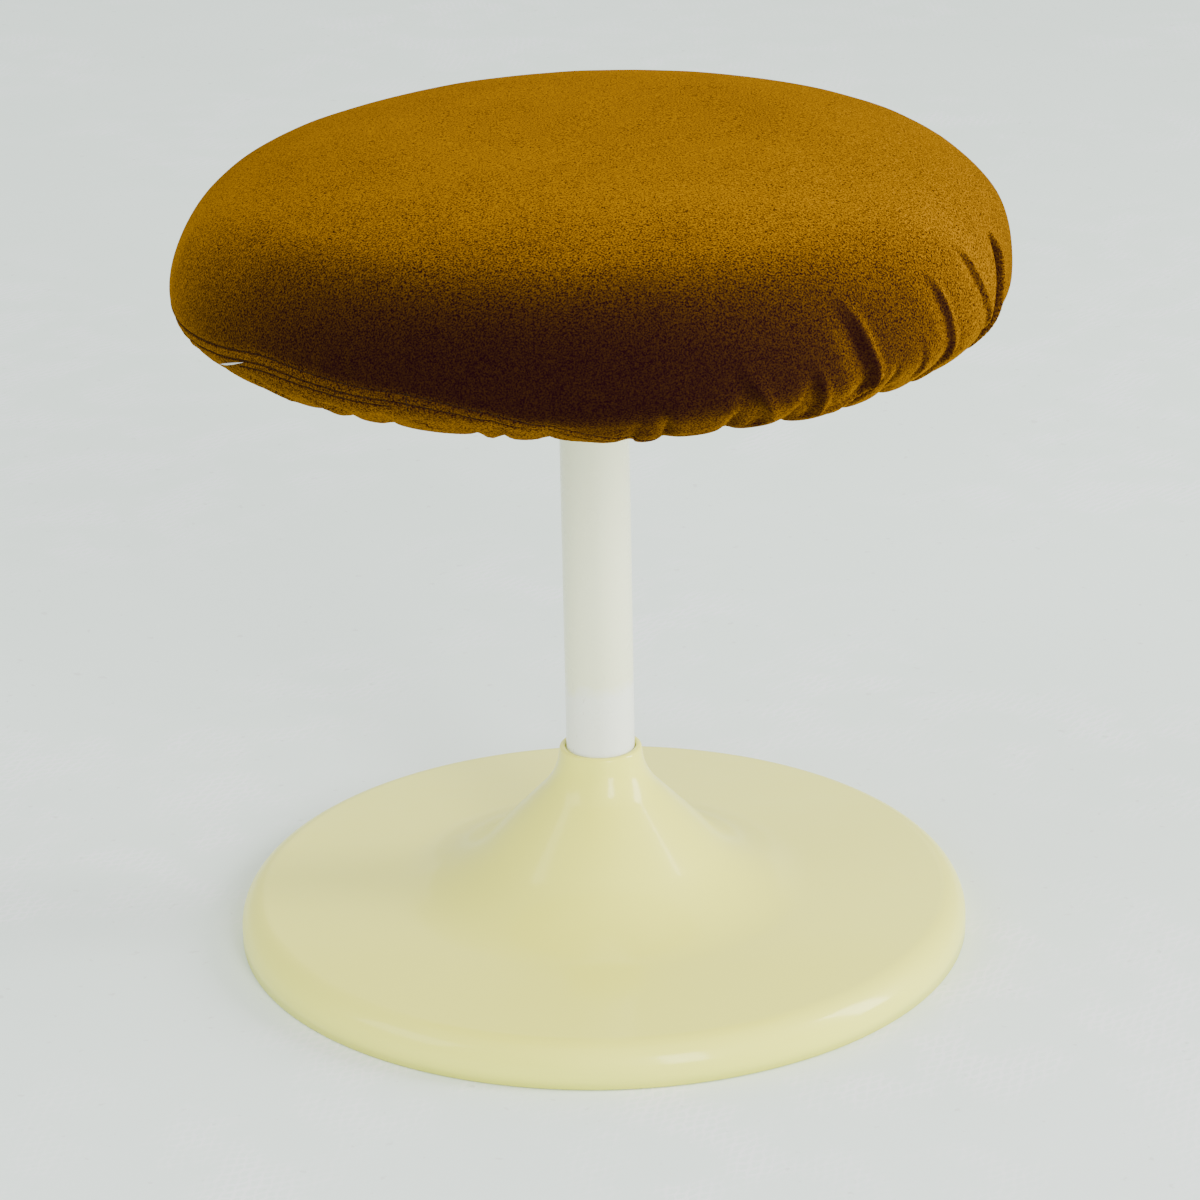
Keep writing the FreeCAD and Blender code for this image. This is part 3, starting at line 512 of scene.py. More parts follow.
def row_pull(turn, below):
    """How close a place is to a row of stitches, at a run below the upper row: 1 on a row."""
    if not -3 * MM < below < BAND_WIDTH + 5 * MM:
        return 0.0
    rows = ROW_OFFSETS if THIRD_ROW_TURNS[0] < turn < THIRD_ROW_TURNS[1] else ROW_OFFSETS[:2]
    return max(bell(below - row, GROOVE_WIDTH) for row in rows)


def band_depth(turn, run):
    """The doubled cloth of the band, pulled in along its rows of stitches."""
    if not BAND_RUNS[0] < run < BAND_RUNS[1]:
        return 0.0
    below = run - band_run(turn)
    doubled = ease(-1.0 * MM, 1.0 * MM, below) * (1 - ease(7 * MM, 11 * MM, below))
    pull = row_pull(turn, below)
    pucker = 0.75 + 0.25 * math.sin(math.radians(turn) * PUCKERS_PER_RADIAN)
    return BAND_PUFF * doubled - GROOVE_DEPTH * pull * pucker


LUMP_SCALE = 3
LUMP_LAYER = 4.7
LARGE_LUMP = 0.9 * MM
SMALL_LUMP = 0.35 * MM


def lumps(turn, run):
    """Soft unevenness of the stuffing."""
    angle = math.radians(turn)
    reach = run / WHOLE_RUN * LUMP_SCALE
    place = Vector((math.sin(angle) * reach, math.cos(angle) * reach, LUMP_LAYER))
    return LARGE_LUMP * noise.noise(place) + SMALL_LUMP * noise.noise(place * 4)


def cushion_place(turn, run, depth=0.0):
    """The point at a depth under the skin of the cushion, at a turn in degrees and a run."""
    point, out = on_outline(run)
    side = 1 - ease(UNDER_RUN - 30 * MM, UNDER_RUN, run)
    upper = 1 - ease(UNDER_RUN - 4 * MM, UNDER_RUN + 6 * MM, run)
    stand = gather_depth(turn, run) + upper * (crease_depth(turn, run) + fullness(turn, run))
    stand += band_depth(turn, run) + lumps(turn, run) * side
    if run > UNDER_RUN:
        stand = max(stand, 0.0)
    flat = point + out * (stand - depth)
    angle = math.radians(turn)
    x, y = flat.x * math.sin(angle), -flat.x * math.cos(angle)
    rise = TILT_RISE * x / CUSHION_RADIUS * side
    return Vector((x + SHIFT_RIGHT * side, y, flat.y + rise))


# The rings of the cover lie close together along the band and the lower edge
RING_STEPS = [
    (0.0, 90.0, 7.5),
    (90.0, 180.0, 3.6),
    (180.0, 232.0, 1.3),
    (232.0, 248.0, 0.5),
    (248.0, 280.0, 1.3),
    (280.0, 330.0, 3.2),
]
# The inner face of the cloth follows the folds closely and is coarser elsewhere
INNER_STEPS = [
    (0.0, 90.0, 15.0),
    (90.0, 180.0, 7.5),
    (180.0, 280.0, 1.9),
    (280.0, 330.0, 6.5),
]
BAND_HOME = 239.0 * MM
SLIDE_START = 160.0 * MM
HELD_ABOVE = 4.0 * MM
HELD_BELOW = 14.0 * MM


def ring_runs(steps):
    """The runs of the rings, of rows that each give a start, an end and a step in mm."""
    runs = []
    for start, end, step in steps:
        count = round((end - start) / step)
        runs += [(start + (end - start) * i / count) * MM for i in range(count)]
    return runs + [WHOLE_RUN]


def slid_run(turn, run):
    """Slides the rings so that those meant for the band follow it round the cushion."""
    above = ease(SLIDE_START, BAND_HOME - HELD_ABOVE, run)
    below = 1 - ease(BAND_HOME + HELD_BELOW, WHOLE_RUN, run)
    if above * below == 0:
        return run
    return run + (band_run(turn) - BAND_HOME) * above * below


TURN_STEPS = 700
FINE_TURNS = 3600
DENSE_TURNS = (10.0, 82.0)
DENSE_EDGE = 12.0
DENSE_EXTRA = 2.4


def make_turns():
    """The turns in degrees of the cover's vertices, closer together where the folds are."""
    cost = [0.0]
    for i in range(FINE_TURNS):
        turn = turn_gap(360 * i / FINE_TURNS, 0)
        low, high = DENSE_TURNS
        inside = ease(low - DENSE_EDGE, low, turn) * (1 - ease(high, high + DENSE_EDGE, turn))
        cost.append(cost[-1] + 1 + DENSE_EXTRA * inside)
    turns, at = [], 0
    for step in range(TURN_STEPS):
        goal = cost[-1] * step / TURN_STEPS
        while cost[at + 1] < goal:
            at += 1
        turns.append(360 * (at + (goal - cost[at]) / (cost[at + 1] - cost[at])) / FINE_TURNS)
    return turns


def wrapped_sheet(turns, rows, place):
    """A grid wrapped round the axis, its vertex at each turn and row put where place says.

    Each vertex keeps the number of its row, which paint_velour_shade reads.
    """
    bm = bmesh.new()
    row_of = bm.verts.layers.int.new("row")
    last = len(rows) - 1
    bmesh.ops.create_grid(bm, x_segments=len(turns), y_segments=last, size=0.5)
    for vert in bm.verts:
        step = round((vert.co.x + 0.5) * len(turns)) % len(turns)
        vert[row_of] = round((vert.co.y + 0.5) * last)
        vert.co = place(turn_gap(turns[step], 0), rows[vert[row_of]])
    return bm


def round_axis(turn, point):
    """The place of a point of the section, a radius and a height, at a turn in degrees."""
    angle = math.radians(turn)
    return Vector((point.x * math.sin(angle), -point.x * math.cos(angle), point.y))


# The hem of the cover is a tunnel that the elastic cord draws into small ruffles
TUNNEL_RADIUS = 3.4 * MM
TUNNEL_SIDES = 10
TUNNEL_SINK = 1.2 * MM
TUNNEL_START, TUNNEL_TURN = 20.0, 290.0
RUFFLE_COUNT = 58
RUFFLE_DRIFTS = 7
RUFFLE_DRIFT = 1.4
RUFFLE_SIZE = Vector((0.7 * MM, -0.8 * MM))


def cover_place(turn, row):
    """A row is a point of the tunnel, or a run and a depth in the cushion's skin."""
    if isinstance(row, Vector):
        angle = math.radians(turn)
        wave = math.sin(angle * RUFFLE_COUNT + RUFFLE_DRIFT * math.sin(angle * RUFFLE_DRIFTS))
        below = ease(COVER_BOTTOM, COVER_BOTTOM - 2 * TUNNEL_RADIUS, row.y)
        return round_axis(turn, row + RUFFLE_SIZE * (wave * below))
    run, depth = row
    return cushion_place(turn, slid_run(turn, run), depth)


def tunnel_section():
    """The round of the tunnel from the outer face of the cloth to its inner face."""
    centre = Vector((HEM_RADIUS, COVER_BOTTOM - TUNNEL_RADIUS + TUNNEL_SINK))
    points = []
    for i in range(TUNNEL_SIDES):
        angle = math.radians(TUNNEL_START - TUNNEL_TURN * i / (TUNNEL_SIDES - 1))
        points.append(centre + Vector((math.cos(angle), math.sin(angle))) * TUNNEL_RADIUS)
    return points


# Painted shade on the velour, standing in for the darkening of the pile where one looks into it:
# the direction the shade is darkest towards, how far the cloth has to face it, the shares of
# painted shade all round, on the right and behind, and the changes that the folds, the band and
# its rows of stitches make
SHADE_TURN = math.radians(-7)
SHADE_RISE = math.radians(3)
SHADE_START = 0.225
SHADE_ROUND = 0.05
SHADE_RIGHT = 0.12
SHADE_BEHIND = 0.45
BEHIND_TURNS = (95, 150)
SHADE_BEND = 0.32
BAND_LESS_SHADE = 0.42
ROW_SHADE = 0.95


def ease_line(low, high, value):
    """Rises evenly from 0 at low to 1 at high."""
    return min(1.0, max(0.0, (value - low) / (high - low)))


def paint_velour_shade(piece, rows):
    """Stores painted shade for the velour's colour, from each normal: 0 where lit, 1 where darkest.

    The shade is painted darkest on cloth that faces the front, and in part behind and on the
    right. Along the band less shade is painted. The normal is partly that of the smooth
    cushion, so the painted shade over small folds is softer. A dark groove shade is painted
    along the rows of stitches.
    """
    toward = Vector((
        math.sin(SHADE_TURN) * math.cos(SHADE_RISE),
        -math.cos(SHADE_TURN) * math.cos(SHADE_RISE),
        math.sin(SHADE_RISE),
    ))
    mesh = piece.data
    # painted shade of the velour, kept on each vertex
    painted_shade = mesh.attributes.new("painted_shade", "FLOAT", "POINT").data
    row_of = mesh.attributes["row"].data
    for i, vert in enumerate(mesh.vertices):
        row = rows[row_of[i].value]
        turn = math.degrees(math.atan2(vert.co.x, -vert.co.y))
        normal = vert.normal
        if not isinstance(row, Vector):
            smooth = round_axis(turn, on_outline(slid_run(turn, row[0]))[1])
            normal = normal.lerp(smooth, SHADE_BEND).normalized()
        front = ease_line(SHADE_START, 1.0, normal.dot(toward))
        level = math.hypot(normal.x, normal.y)
        all_round = level * math.cos(SHADE_RISE) + normal.z * math.sin(SHADE_RISE)
        share = SHADE_ROUND + SHADE_RIGHT * level * math.sin(math.radians(turn))
        share += SHADE_BEHIND * ease(*BEHIND_TURNS, abs(turn))
        dark = max(front, share * ease_line(SHADE_START, 1.0, all_round))
        if not isinstance(row, Vector):
            below = slid_run(turn, row[0]) - band_run(turn)
            dark *= 1 - BAND_LESS_SHADE * ease(-5 * MM, 3 * MM, below)
            # painted groove shade along the rows of stitches
            dark = max(dark, ROW_SHADE * row_pull(turn, below))
        painted_shade[i].value = dark


def make_cover():
    """The outer face of the cloth, the tunnel of its hem and the inner face, one closed sheet."""
    rows = [(run, 0.0) for run in ring_runs(RING_STEPS)] + tunnel_section()
    rows += [(run, CLOTH) for run in ring_runs(INNER_STEPS)[::-1]]
    bm = wrapped_sheet(make_turns(), rows, cover_place)
    piece = finish_mesh("seat_cover_velour", bm, "seat", "seat_cover", slot="velour")
    paint_velour_shade(piece, rows)
    return piece


# The foam keeps clear of the deepest folds of the loose cover
FOAM_DEPTH = CLOTH + 6.5 * MM
FOAM_STEPS = 240
FOAM_RING = 6.0 * MM
BOARD_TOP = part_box("seat_board")[1][2]
FOAM_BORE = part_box("seat_board")[1][0] + 0.4 * MM


def foam_place(turn, row):
    """A row is a point of the hollow for the board, or a run of the cushion's skin."""
    if isinstance(row, Vector):
        return round_axis(turn, row)
    place = cushion_place(turn, row, FOAM_DEPTH)
    reach = math.hypot(place.x, place.y)
    if place.z < BOARD_TOP and reach < FOAM_BORE:
        place.xy *= FOAM_BORE / reach
    return place


def make_foam():
    """Foam over the board and down round its edge, under the cover."""
    last = UNDER_RUN - 2 * MM
    count = round(last / FOAM_RING)
    rows = [last * i / count for i in range(count + 1)]
    rows.append(Vector((FOAM_BORE, on_outline(last)[0].y + FOAM_DEPTH)))
    rows += [Vector((FOAM_BORE, BOARD_TOP)), Vector((0.0, BOARD_TOP))]
    turns = [360 * i / FOAM_STEPS for i in range(FOAM_STEPS)]
    bm = wrapped_sheet(turns, rows, foam_place)
    piece = finish_mesh("foam_cushion", bm, "seat", "foam_pad", slot="foam")
    return piece


# Stitches
STITCH_PITCH = 2.6 * MM
STITCH_POINTS = 4
STITCH_RISE = 0.1 * MM
STITCH_DIVE = 0.7 * MM
THREAD_RADIUS = 0.34 * MM
THREAD_SIDES = 6
THREAD_TIP = 0.1
CROSS_STITCH_TURN = -24.3
CROSS_STITCHES = 4
CROSS_STEP = 0.6 * MM


def add_thread(bm, route, radius):
    """A thin round thread along a route of points: a grid rolled up, its ends drawn together."""
    last = len(route) - 1
    grid = bmesh.ops.create_grid(bm, x_segments=last, y_segments=THREAD_SIDES, size=0.5)
    for vert in grid["verts"]:
        step = round((vert.co.x + 0.5) * last)
        angle = FULL_TURN * round((vert.co.y + 0.5) * THREAD_SIDES) / THREAD_SIDES
        along = route[min(step + 1, last)] - route[max(step - 1, 0)]
        side = along.cross(Vector((0, 0, 1))).normalized()
        up = side.cross(along).normalized()
        size = radius * THREAD_TIP if step in (0, last) else radius
        vert.co = route[step] + (side * math.cos(angle) + up * math.sin(angle)) * size


def stitched_row(offset_run, start, end):
    """The route of a thread that rises above the cloth and dives under it, stitch by stitch."""
    count = round(math.radians(end - start) * CUSHION_RADIUS / STITCH_PITCH) * STITCH_POINTS
    route = []
    for i in range(count + 1):
        turn = start + (end - start) * i / count
        wave = math.cos(FULL_TURN * i / STITCH_POINTS)
        sink = (STITCH_DIVE - STITCH_RISE) / 2 + (STITCH_DIVE + STITCH_RISE) / 2 * wave
        route.append(cushion_place(turn, band_run(turn) + offset_run, sink))
    return route


def make_stitching():
    """The rows of the band, and one short row across it."""
    bm = bmesh.new()
    for row in ROW_OFFSETS[:2]:
        add_thread(bm, stitched_row(row, -180, 180), THREAD_RADIUS)
    add_thread(bm, stitched_row(ROW_OFFSETS[2], *THIRD_ROW_TURNS), THREAD_RADIUS)
    start = band_run(CROSS_STITCH_TURN) - 1.5 * MM
    route = []
    for i in range(CROSS_STITCHES * STITCH_POINTS + 1):
        sink = 0.1 * MM + 0.3 * MM * math.cos(FULL_TURN * i / STITCH_POINTS)
        route.append(cushion_place(CROSS_STITCH_TURN, start + CROSS_STEP * i, sink))
    add_thread(bm, route, THREAD_RADIUS)
    return finish_mesh("band_stitching", bm, "seat", slot="velour")


def make_loose_thread():
    """A short pale end of thread that sticks to the cloth under the band."""
    places = [(-58.4, 247.5), (-56.3, 245.4), (-54.2, 243.2), (-52.0, 241.0)]
    bm = bmesh.new()
    for sink in (-0.5, -1.1):
        route = [cushion_place(turn, run * MM, sink * MM) for turn, run in places]
        add_thread(bm, route, 0.4 * MM)
    return finish_mesh("loose_thread_end", bm, "seat", slot="elastic")


# Materials
class Finish:
    """A node material with one Principled shader."""

    def __init__(self, name, **sockets):
        self.material = bpy.data.materials.new(name)
        self.material.use_nodes = True
        tree = self.material.node_tree
        self.nodes = tree.nodes
        self.links = tree.links
        self.shader = self.nodes["Principled BSDF"]
        for socket, value in sockets.items():
            self.shader.inputs[socket.replace("_", " ")].default_value = value
        self.place = self.add("ShaderNodeTexCoord").outputs["Object"]

    def add(self, kind, **values):
        """A node of this kind. Each value sets the input of its name, or else the node's own."""
        node = self.nodes.new(kind)
        for key, value in values.items():
            if key in node.inputs:
                node.inputs[key].default_value = value
            else:
                setattr(node, key, value)
        return node

    def join(self, output, socket):
        self.links.new(output, socket)

    def noise(self, scale, detail=2.0, roughness=0.5, stretch=None):
        place = self.place
        if stretch:
            mapping = self.add("ShaderNodeMapping")
            mapping.inputs["Scale"].default_value = stretch
            self.join(place, mapping.inputs["Vector"])
            place = mapping.outputs["Vector"]
        node = self.add("ShaderNodeTexNoise", Scale=scale, Detail=detail, Roughness=roughness)
        self.join(place, node.inputs["Vector"])
        return node.outputs["Fac"]

    def span(self, value, low, high, to_low=0.0, to_high=1.0):
        """Maps low..high to another range, and keeps the result inside it."""
        node = self.add("ShaderNodeMapRange")
        node.inputs["From Min"].default_value = low
        node.inputs["From Max"].default_value = high
        node.inputs["To Min"].default_value = to_low
        node.inputs["To Max"].default_value = to_high
        self.join(value, node.inputs["Value"])
        return node.outputs["Result"]

    def mix(self, factor, first, second):
        """Mixes two colours, each a colour or an output."""
        node = self.add("ShaderNodeMix", data_type="RGBA")
        self.join(factor, node.inputs["Factor"])
        for socket, colour in ((6, first), (7, second)):
            if isinstance(colour, tuple):
                node.inputs[socket].default_value = colour + (1.0,)
            else:
                self.join(colour, node.inputs[socket])
        return node.outputs[2]

    def math(self, operation, first, second):
        node = self.add("ShaderNodeMath", operation=operation)
        for socket, value in zip(node.inputs, (first, second)):
            if isinstance(value, (int, float)):
                socket.default_value = value
            else:
                self.join(value, socket)
        return node.outputs["Value"]

    def colour(self, output):
        self.join(output, self.shader.inputs["Base Color"])

    def roughness(self, output):
        self.join(output, self.shader.inputs["Roughness"])

    def bump(self, height, distance, strength=1.0):
        node = self.add("ShaderNodeBump", Distance=distance, Strength=strength)
        self.join(height, node.inputs["Height"])
        self.join(node.outputs["Normal"], self.shader.inputs["Normal"])


# The velour: its painted shaded colour and its lit colour, how fast the painted shade deepens,
# the light that always stays, and how far its speckles fade where it is lit
VELOUR_SHADED = (0.0085, 0.0014, 0.0028)
VELOUR_LIT = (0.257, 0.112, 0.002)
LIT_POWER = 2.2
LIT_LEAST = 0.04
SPECKLE_FADE = 0.5


def velour():
    """Short dense ochre pile, with painted shade in dark brown mixed in by the shade attribute."""
    finish = Finish(
        "velour_ochre",
        Roughness=1.0,
        Specular_IOR_Level=0.0,
        Sheen_Weight=0.08,
        Sheen_Roughness=0.3,
        Sheen_Tint=(1.0, 0.44, 0.01, 1.0),
    )
    # Painted shade, stored on the cover's vertices, mixes dark brown into the lit ochre
    painted_shade = finish.add("ShaderNodeAttribute", attribute_name="painted_shade").outputs["Fac"]
    unshaded = finish.math("SUBTRACT", 1.0, painted_shade)
    lit = finish.math("POWER", unshaded, LIT_POWER)
    patch = finish.span(finish.noise(22.0, 3.0, 0.55), 0.3, 0.7, 0.62, 0.76)
    grain = finish.span(finish.noise(1250.0, 1.5, 0.5), 0.30, 0.70, -0.45, 2.45)
    lit = finish.math("MULTIPLY", finish.math("ADD", lit, LIT_LEAST), patch)
    strength = finish.math("SUBTRACT", 1.0, finish.math("MULTIPLY", lit, SPECKLE_FADE))
    speckle = finish.math("MULTIPLY", finish.math("SUBTRACT", grain, 1.0), strength)
    share = finish.math("MULTIPLY", lit, finish.math("ADD", speckle, 1.0))
    share = finish.span(share, 0.0, 1.0)
    finish.colour(finish.mix(share, VELOUR_SHADED, VELOUR_LIT))
    finish.bump(finish.noise(900.0, 2.0, 0.7), 0.35 * MM, 0.5)
    return finish.material


def cream_plastic():
    """Moulded plastic, slightly yellowed, with a soft gloss and faint rubbing marks."""
    finish = Finish("plastic_cream", Specular_IOR_Level=0.2, Coat_Weight=0.42, Coat_Roughness=0.11)
    cloud = finish.span(finish.noise(9.0, 3.0), 0.3, 0.7)
    finish.colour(finish.mix(cloud, (0.858, 0.842, 0.116), (0.872, 0.856, 0.132)))
    rub = finish.noise(60.0, 4.0, 0.7, (1.0, 3.0, 1.0))
    finish.roughness(finish.span(rub, 0.3, 0.7, 0.34, 0.44))
    finish.bump(finish.noise(420.0, 2.0), 0.05 * MM, 0.2)
    return finish.material


COLUMN_TONE_LINE = 135.0 * MM
TONE_BLUR = 3.0 * MM
TONE_WAVE = 4.0 * MM


def white_lacquer():
    """White lacquer, slightly yellower above a line near the collar, with a few scuffs below."""
    finish = Finish("lacquer_white", Specular_IOR_Level=0.5, Coat_Weight=0.4, Coat_Roughness=0.12)
    split = finish.add("ShaderNodeSeparateXYZ")
    finish.join(finish.place, split.inputs["Vector"])
    wave = finish.span(finish.noise(60.0, 3.0), 0.3, 0.7, -TONE_WAVE, TONE_WAVE)
    height = finish.math("ADD", split.outputs["Z"], wave)
    upper = finish.span(height, COLUMN_TONE_LINE - TONE_BLUR, COLUMN_TONE_LINE + TONE_BLUR)
    tone = finish.mix(upper, (0.82, 0.85, 0.78), (0.815, 0.845, 0.59))
    scuff = finish.span(finish.noise(300.0, 2.0, 0.6, (1.0, 1.0, 0.35)), 0.66, 0.72)
    low = finish.span(split.outputs["Z"], 150 * MM, 105 * MM)
    finish.colour(finish.mix(finish.math("MULTIPLY", scuff, low), tone, (0.55, 0.53, 0.45)))
    finish.roughness(finish.span(finish.noise(80.0, 3.0), 0.3, 0.7, 0.20, 0.30))
    finish.bump(finish.noise(160.0, 2.0), 0.05 * MM, 0.2)
    return finish.material


def hard_surface(name, dark, light, roughness, scale, metallic=1.0, stretch=None):
    """Metal or paint with a fine grain in its colour, its gloss and its surface."""
    finish = Finish(name, Metallic=metallic)
    grain = finish.noise(scale, 4.0, 0.6, stretch)
    finish.colour(finish.mix(finish.span(grain, 0.3, 0.7), dark, light))
    finish.roughness(finish.span(grain, 0.3, 0.7, roughness - 0.07, roughness + 0.07))
    finish.bump(grain, 0.05 * MM, 0.3)
    return finish.material


def plywood():
    """Birch plywood: long figure on its faces and thin layers on its edge."""
    finish = Finish("plywood_birch", Roughness=0.62, Specular_IOR_Level=0.3)
    figure = finish.noise(38.0, 5.0, 0.6, (0.22, 2.6, 2.6))
    face = finish.mix(finish.span(figure, 0.3, 0.7), (0.48, 0.30, 0.15), (0.66, 0.47, 0.27))
    pores = finish.span(finish.noise(520.0, 2.0, 0.7, (0.1, 1.0, 1.0)), 0.60, 0.70)
    finish.colour(finish.mix(pores, face, (0.30, 0.18, 0.09)))
    finish.bump(figure, 0.2 * MM, 0.3)
    return finish.material


def open_foam():
    finish = Finish("foam_yellowed", Roughness=0.95, Specular_IOR_Level=0.1)
    pattern = finish.add("ShaderNodeTexVoronoi", Scale=700.0)
    finish.join(finish.place, pattern.inputs["Vector"])
    cells = pattern.outputs["Distance"]
    finish.colour(finish.mix(cells, (0.52, 0.40, 0.16), (0.78, 0.66, 0.36)))
    finish.bump(cells, 0.4 * MM, 0.8)
    return finish.material


def fibres(name, dark, light, scale, height):
    """Felt or thread: a tangle of fibres of this height."""
    finish = Finish(name, Roughness=0.95, Specular_IOR_Level=0.1)
    tangle = finish.noise(scale, 6.0, 0.75)
    finish.colour(finish.mix(finish.span(tangle, 0.35, 0.65), dark, light))
    finish.bump(tangle, height, 0.8)
    return finish.material


def nylon():
    finish = Finish("nylon_natural", Roughness=0.45, Specular_IOR_Level=0.4)
    cloud = finish.noise(90.0, 3.0)
    finish.colour(finish.mix(finish.span(cloud, 0.3, 0.7), (0.66, 0.64, 0.56), (0.74, 0.73, 0.67)))
    finish.bump(finish.noise(700.0, 2.0), 0.05 * MM, 0.3)
    return finish.material


def elastic():
    finish = Finish("elastic_covered", Roughness=0.85, Specular_IOR_Level=0.2)
    braid = finish.noise(650.0, 2.0, 0.5, (1.0, 1.0, 3.0))
    finish.colour(finish.mix(finish.span(braid, 0.3, 0.7), (0.48, 0.46, 0.42), (0.74, 0.72, 0.68)))
    finish.bump(braid, 0.3 * MM, 0.6)
    return finish.material


def dress_nodes(finishes):
    """Gives every node of the frame the material of its slot."""
    slots = {row["node"]: row["material_slot"] for row in frame["record"]["subparts"]}
    for name, node in frame["nodes"].items():
        node.data.materials.clear()
        node.data.materials.append(finishes[slots[name]])


# The photograph's view, fitted to the outlines of the base, the column and the seat
LENS_MM = 126.0
SENSOR_MM = 36.0
CAMERA_PLACE = (0.0, -1.9732, 0.9588)
CAMERA_PITCH = math.radians(21.56)
CAMERA_PAN = math.radians(0.034)
CAMERA_ROLL = math.radians(-1.134)


def make_camera():
    data = bpy.data.cameras.new("photo_view")
    data.lens = LENS_MM
    data.sensor_width = SENSOR_MM
    camera = bpy.data.objects.new("photo_view", data)
    turn = Matrix.Rotation(-CAMERA_PAN, 4, "Z")
    turn = turn @ Matrix.Rotation(math.pi / 2 - CAMERA_PITCH, 4, "X")
    turn = turn @ Matrix.Rotation(CAMERA_ROLL, 4, "Z")
    camera.matrix_world = Matrix.Translation(CAMERA_PLACE) @ turn
    bpy.context.scene.collection.objects.link(camera)
    bpy.context.scene.camera = camera


def floor_paint():
    """Pale paint with faint clouds, brush marks in two directions and a few specks."""
    finish = Finish("floor_pale", Roughness=0.9, Specular_IOR_Level=0.1)
    split = finish.add("ShaderNodeSeparateXYZ")
    finish.join(finish.place, split.inputs["Vector"])
    cloud = finish.span(finish.noise(5.0, 5.0, 0.65), 0.35, 0.65)
    near = finish.mix(cloud, (0.808, 0.896, 0.846), (0.830, 0.912, 0.866))
    far = finish.mix(cloud, (0.820, 0.920, 0.840), (0.844, 0.932, 0.862))
    tone = finish.mix(finish.span(split.outputs["Y"], -0.3, 0.6), near, far)
    where = finish.span(finish.noise(3.6, 2.0, 0.5), 0.44, 0.56)
    for scale, offset in ((62.0, (-1.6, 0.5, 0.0)), (54.0, (0.9, -1.9, 0.0))):
        mapping = finish.add("ShaderNodeMapping")
        mapping.inputs["Location"].default_value = offset
        finish.join(finish.place, mapping.inputs["Vector"])
        wave = finish.add("ShaderNodeTexWave", wave_type="RINGS", rings_direction="Z", Scale=scale)
        wave.inputs["Distortion"].default_value = 5.0
        wave.inputs["Detail"].default_value = 2.0
        wave.inputs["Detail Scale"].default_value = 1.4
        finish.join(mapping.outputs["Vector"], wave.inputs["Vector"])
        stroke = finish.span(wave.outputs["Fac"], 0.65, 1.0)
        gap = finish.span(finish.noise(20.0, 2.0, 0.5), 0.46, 0.60)
        stroke = finish.math("MULTIPLY", finish.math("MULTIPLY", stroke, gap), where)
        tone = finish.mix(stroke, tone, (0.930, 0.960, 0.950))
    speck = finish.span(finish.noise(130.0, 2.0, 0.5), 0.69, 0.74, 0.0, 0.35)
    finish.colour(finish.mix(speck, tone, (0.56, 0.57, 0.53)))
    finish.bump(finish.noise(120.0, 4.0, 0.6), 0.3 * MM, 0.25)
    return finish.material


FLOOR_HALF = 6.0


def make_floor():
    bm = bmesh.new()
    bmesh.ops.create_grid(bm, x_segments=1, y_segments=1, size=FLOOR_HALF)
    floor = finish_mesh("studio_floor", bm, None)
    floor.data.materials.append(floor_paint())


STOOL_MIDDLE = 0.2


def add_window(name, turn, rise, distance, width, height, watts, colour):
    """A soft window at a turn and a rise in degrees, seen from the stool and facing it."""
    data = bpy.data.lights.new(name, "AREA")
    data.shape = "RECTANGLE"
    data.size, data.size_y = width, height
    data.energy = watts
    data.color = colour
    lamp = bpy.data.objects.new(name, data)
    turn, rise = math.radians(turn), math.radians(rise)
    level = math.cos(rise) * distance
    place = Vector((math.sin(turn) * level, -math.cos(turn) * level, math.sin(rise) * distance))
    place.z += STOOL_MIDDLE
    facing = (Vector((0, 0, STOOL_MIDDLE)) - place).to_track_quat("-Z", "Y")
    lamp.matrix_world = Matrix.Translation(place) @ facing.to_matrix().to_4x4()
    bpy.context.scene.collection.objects.link(lamp)


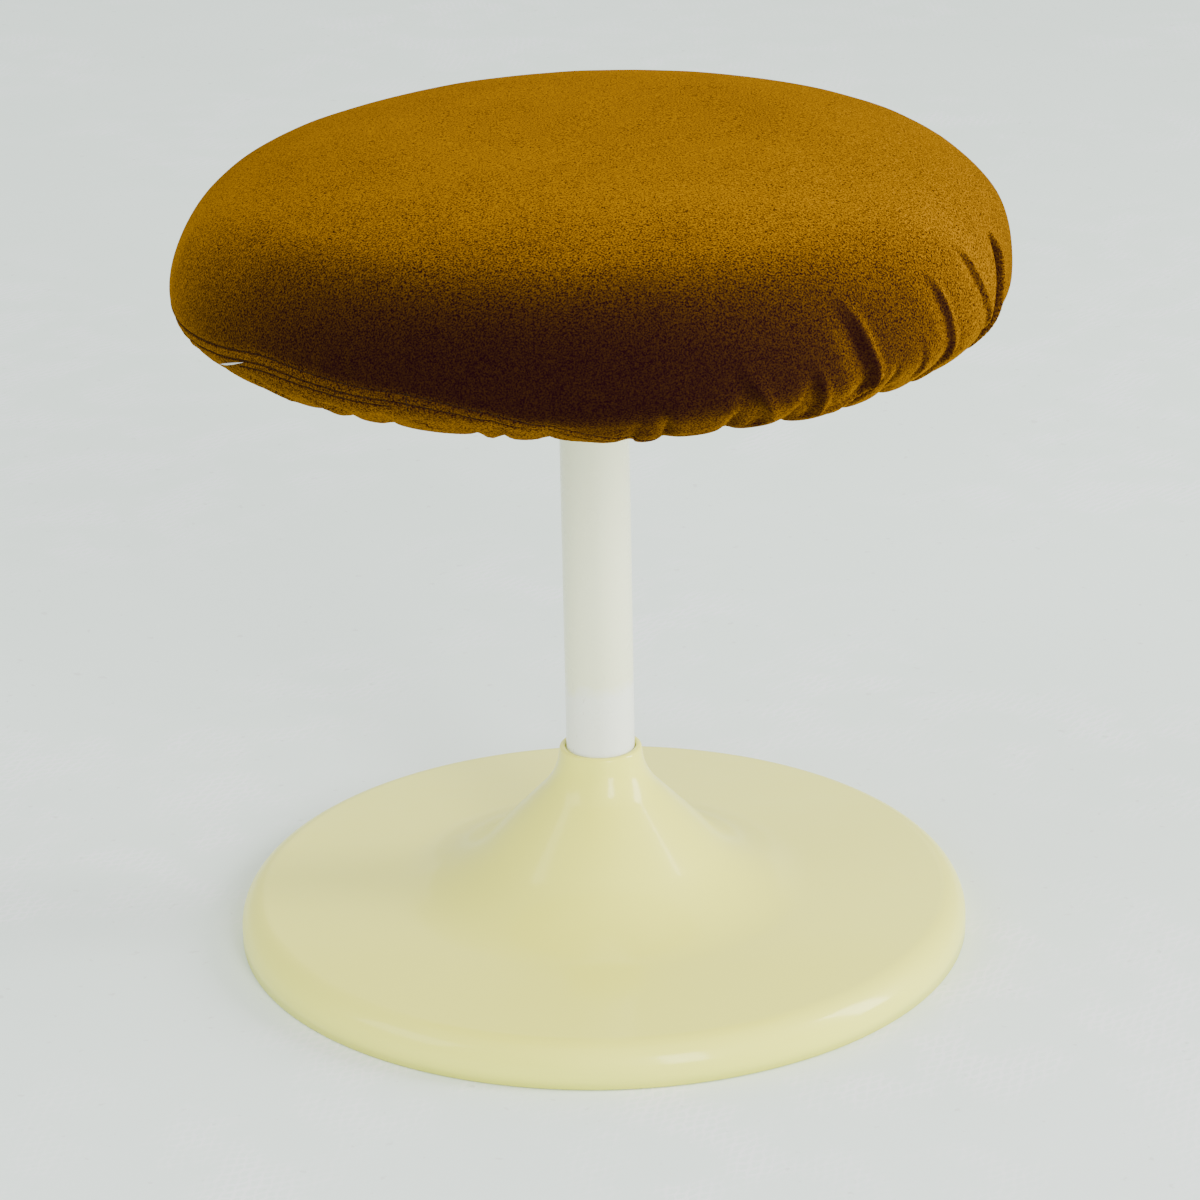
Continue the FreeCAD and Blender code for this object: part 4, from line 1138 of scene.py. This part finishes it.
def make_light():
    """Even light from all round, and windows whose reflections streak the glossy base."""
    world = bpy.data.worlds.new("studio_air")
    bpy.context.scene.world = world
    world.use_nodes = True
    background = world.node_tree.nodes["Background"]
    background.inputs["Color"].default_value = (0.95, 0.99, 1.0, 1.0)
    background.inputs["Strength"].default_value = 1.19
    add_window("window_front", 23, 22, 3.4, 0.75, 2.0, 100.0, (1.0, 1.0, 0.98))
    add_window("window_right", 86, 22, 3.2, 0.8, 2.0, 128.0, (1.0, 0.98, 0.96))
    add_window("window_back", 180, 19, 4.0, 2.6, 1.2, 9.0, (0.97, 0.99, 1.0))
    add_window("window_left", -70, 36, 3.6, 1.8, 1.4, 40.0, (0.97, 1.0, 0.97))


make_camera()
make_floor()
make_light()
finishes = {
    "velour": velour(),
    "cream_plastic": cream_plastic(),
    "white_lacquer": white_lacquer(),
    "foam": open_foam(),
    "plywood": plywood(),
    "cast_iron": hard_surface(
        "iron_primed", (0.020, 0.020, 0.022), (0.045, 0.045, 0.048), 0.6, 300.0, metallic=0.0
    ),
    "zinc_steel": hard_surface(
        "steel_zinc", (0.48, 0.49, 0.50), (0.66, 0.67, 0.68), 0.34, 500.0
    ),
    "bright_steel": hard_surface(
        "steel_turned", (0.46, 0.46, 0.47), (0.62, 0.62, 0.63), 0.26, 300.0, stretch=(1.0, 1.0, 9.0)
    ),
    "black_enamel": hard_surface(
        "enamel_black", (0.012, 0.012, 0.013), (0.022, 0.022, 0.024), 0.38, 120.0, metallic=0.0
    ),
    "brass": hard_surface(
        "brass_turned", (0.52, 0.36, 0.13), (0.68, 0.50, 0.22), 0.30, 400.0
    ),
    "nylon": nylon(),
    "felt": fibres("felt_black", (0.008, 0.008, 0.009), (0.035, 0.035, 0.037), 900.0, 0.6 * MM),
    "elastic": elastic(),
}
thread_brown = fibres("thread_brown", (0.010, 0.004, 0.0015), (0.035, 0.014, 0.004), 1500.0, 0.1 * MM)
thread_pale = fibres("thread_pale", (0.42, 0.43, 0.40), (0.60, 0.61, 0.58), 1500.0, 0.1 * MM)
dress_nodes(finishes)

for make_piece, material in (
    (make_base, finishes["cream_plastic"]),
    (make_column, finishes["white_lacquer"]),
    (make_cover, finishes["velour"]),
    (make_foam, finishes["foam"]),
    (make_stitching, thread_brown),
    (make_loose_thread, thread_pale),
):
    make_piece().data.materials.append(material)
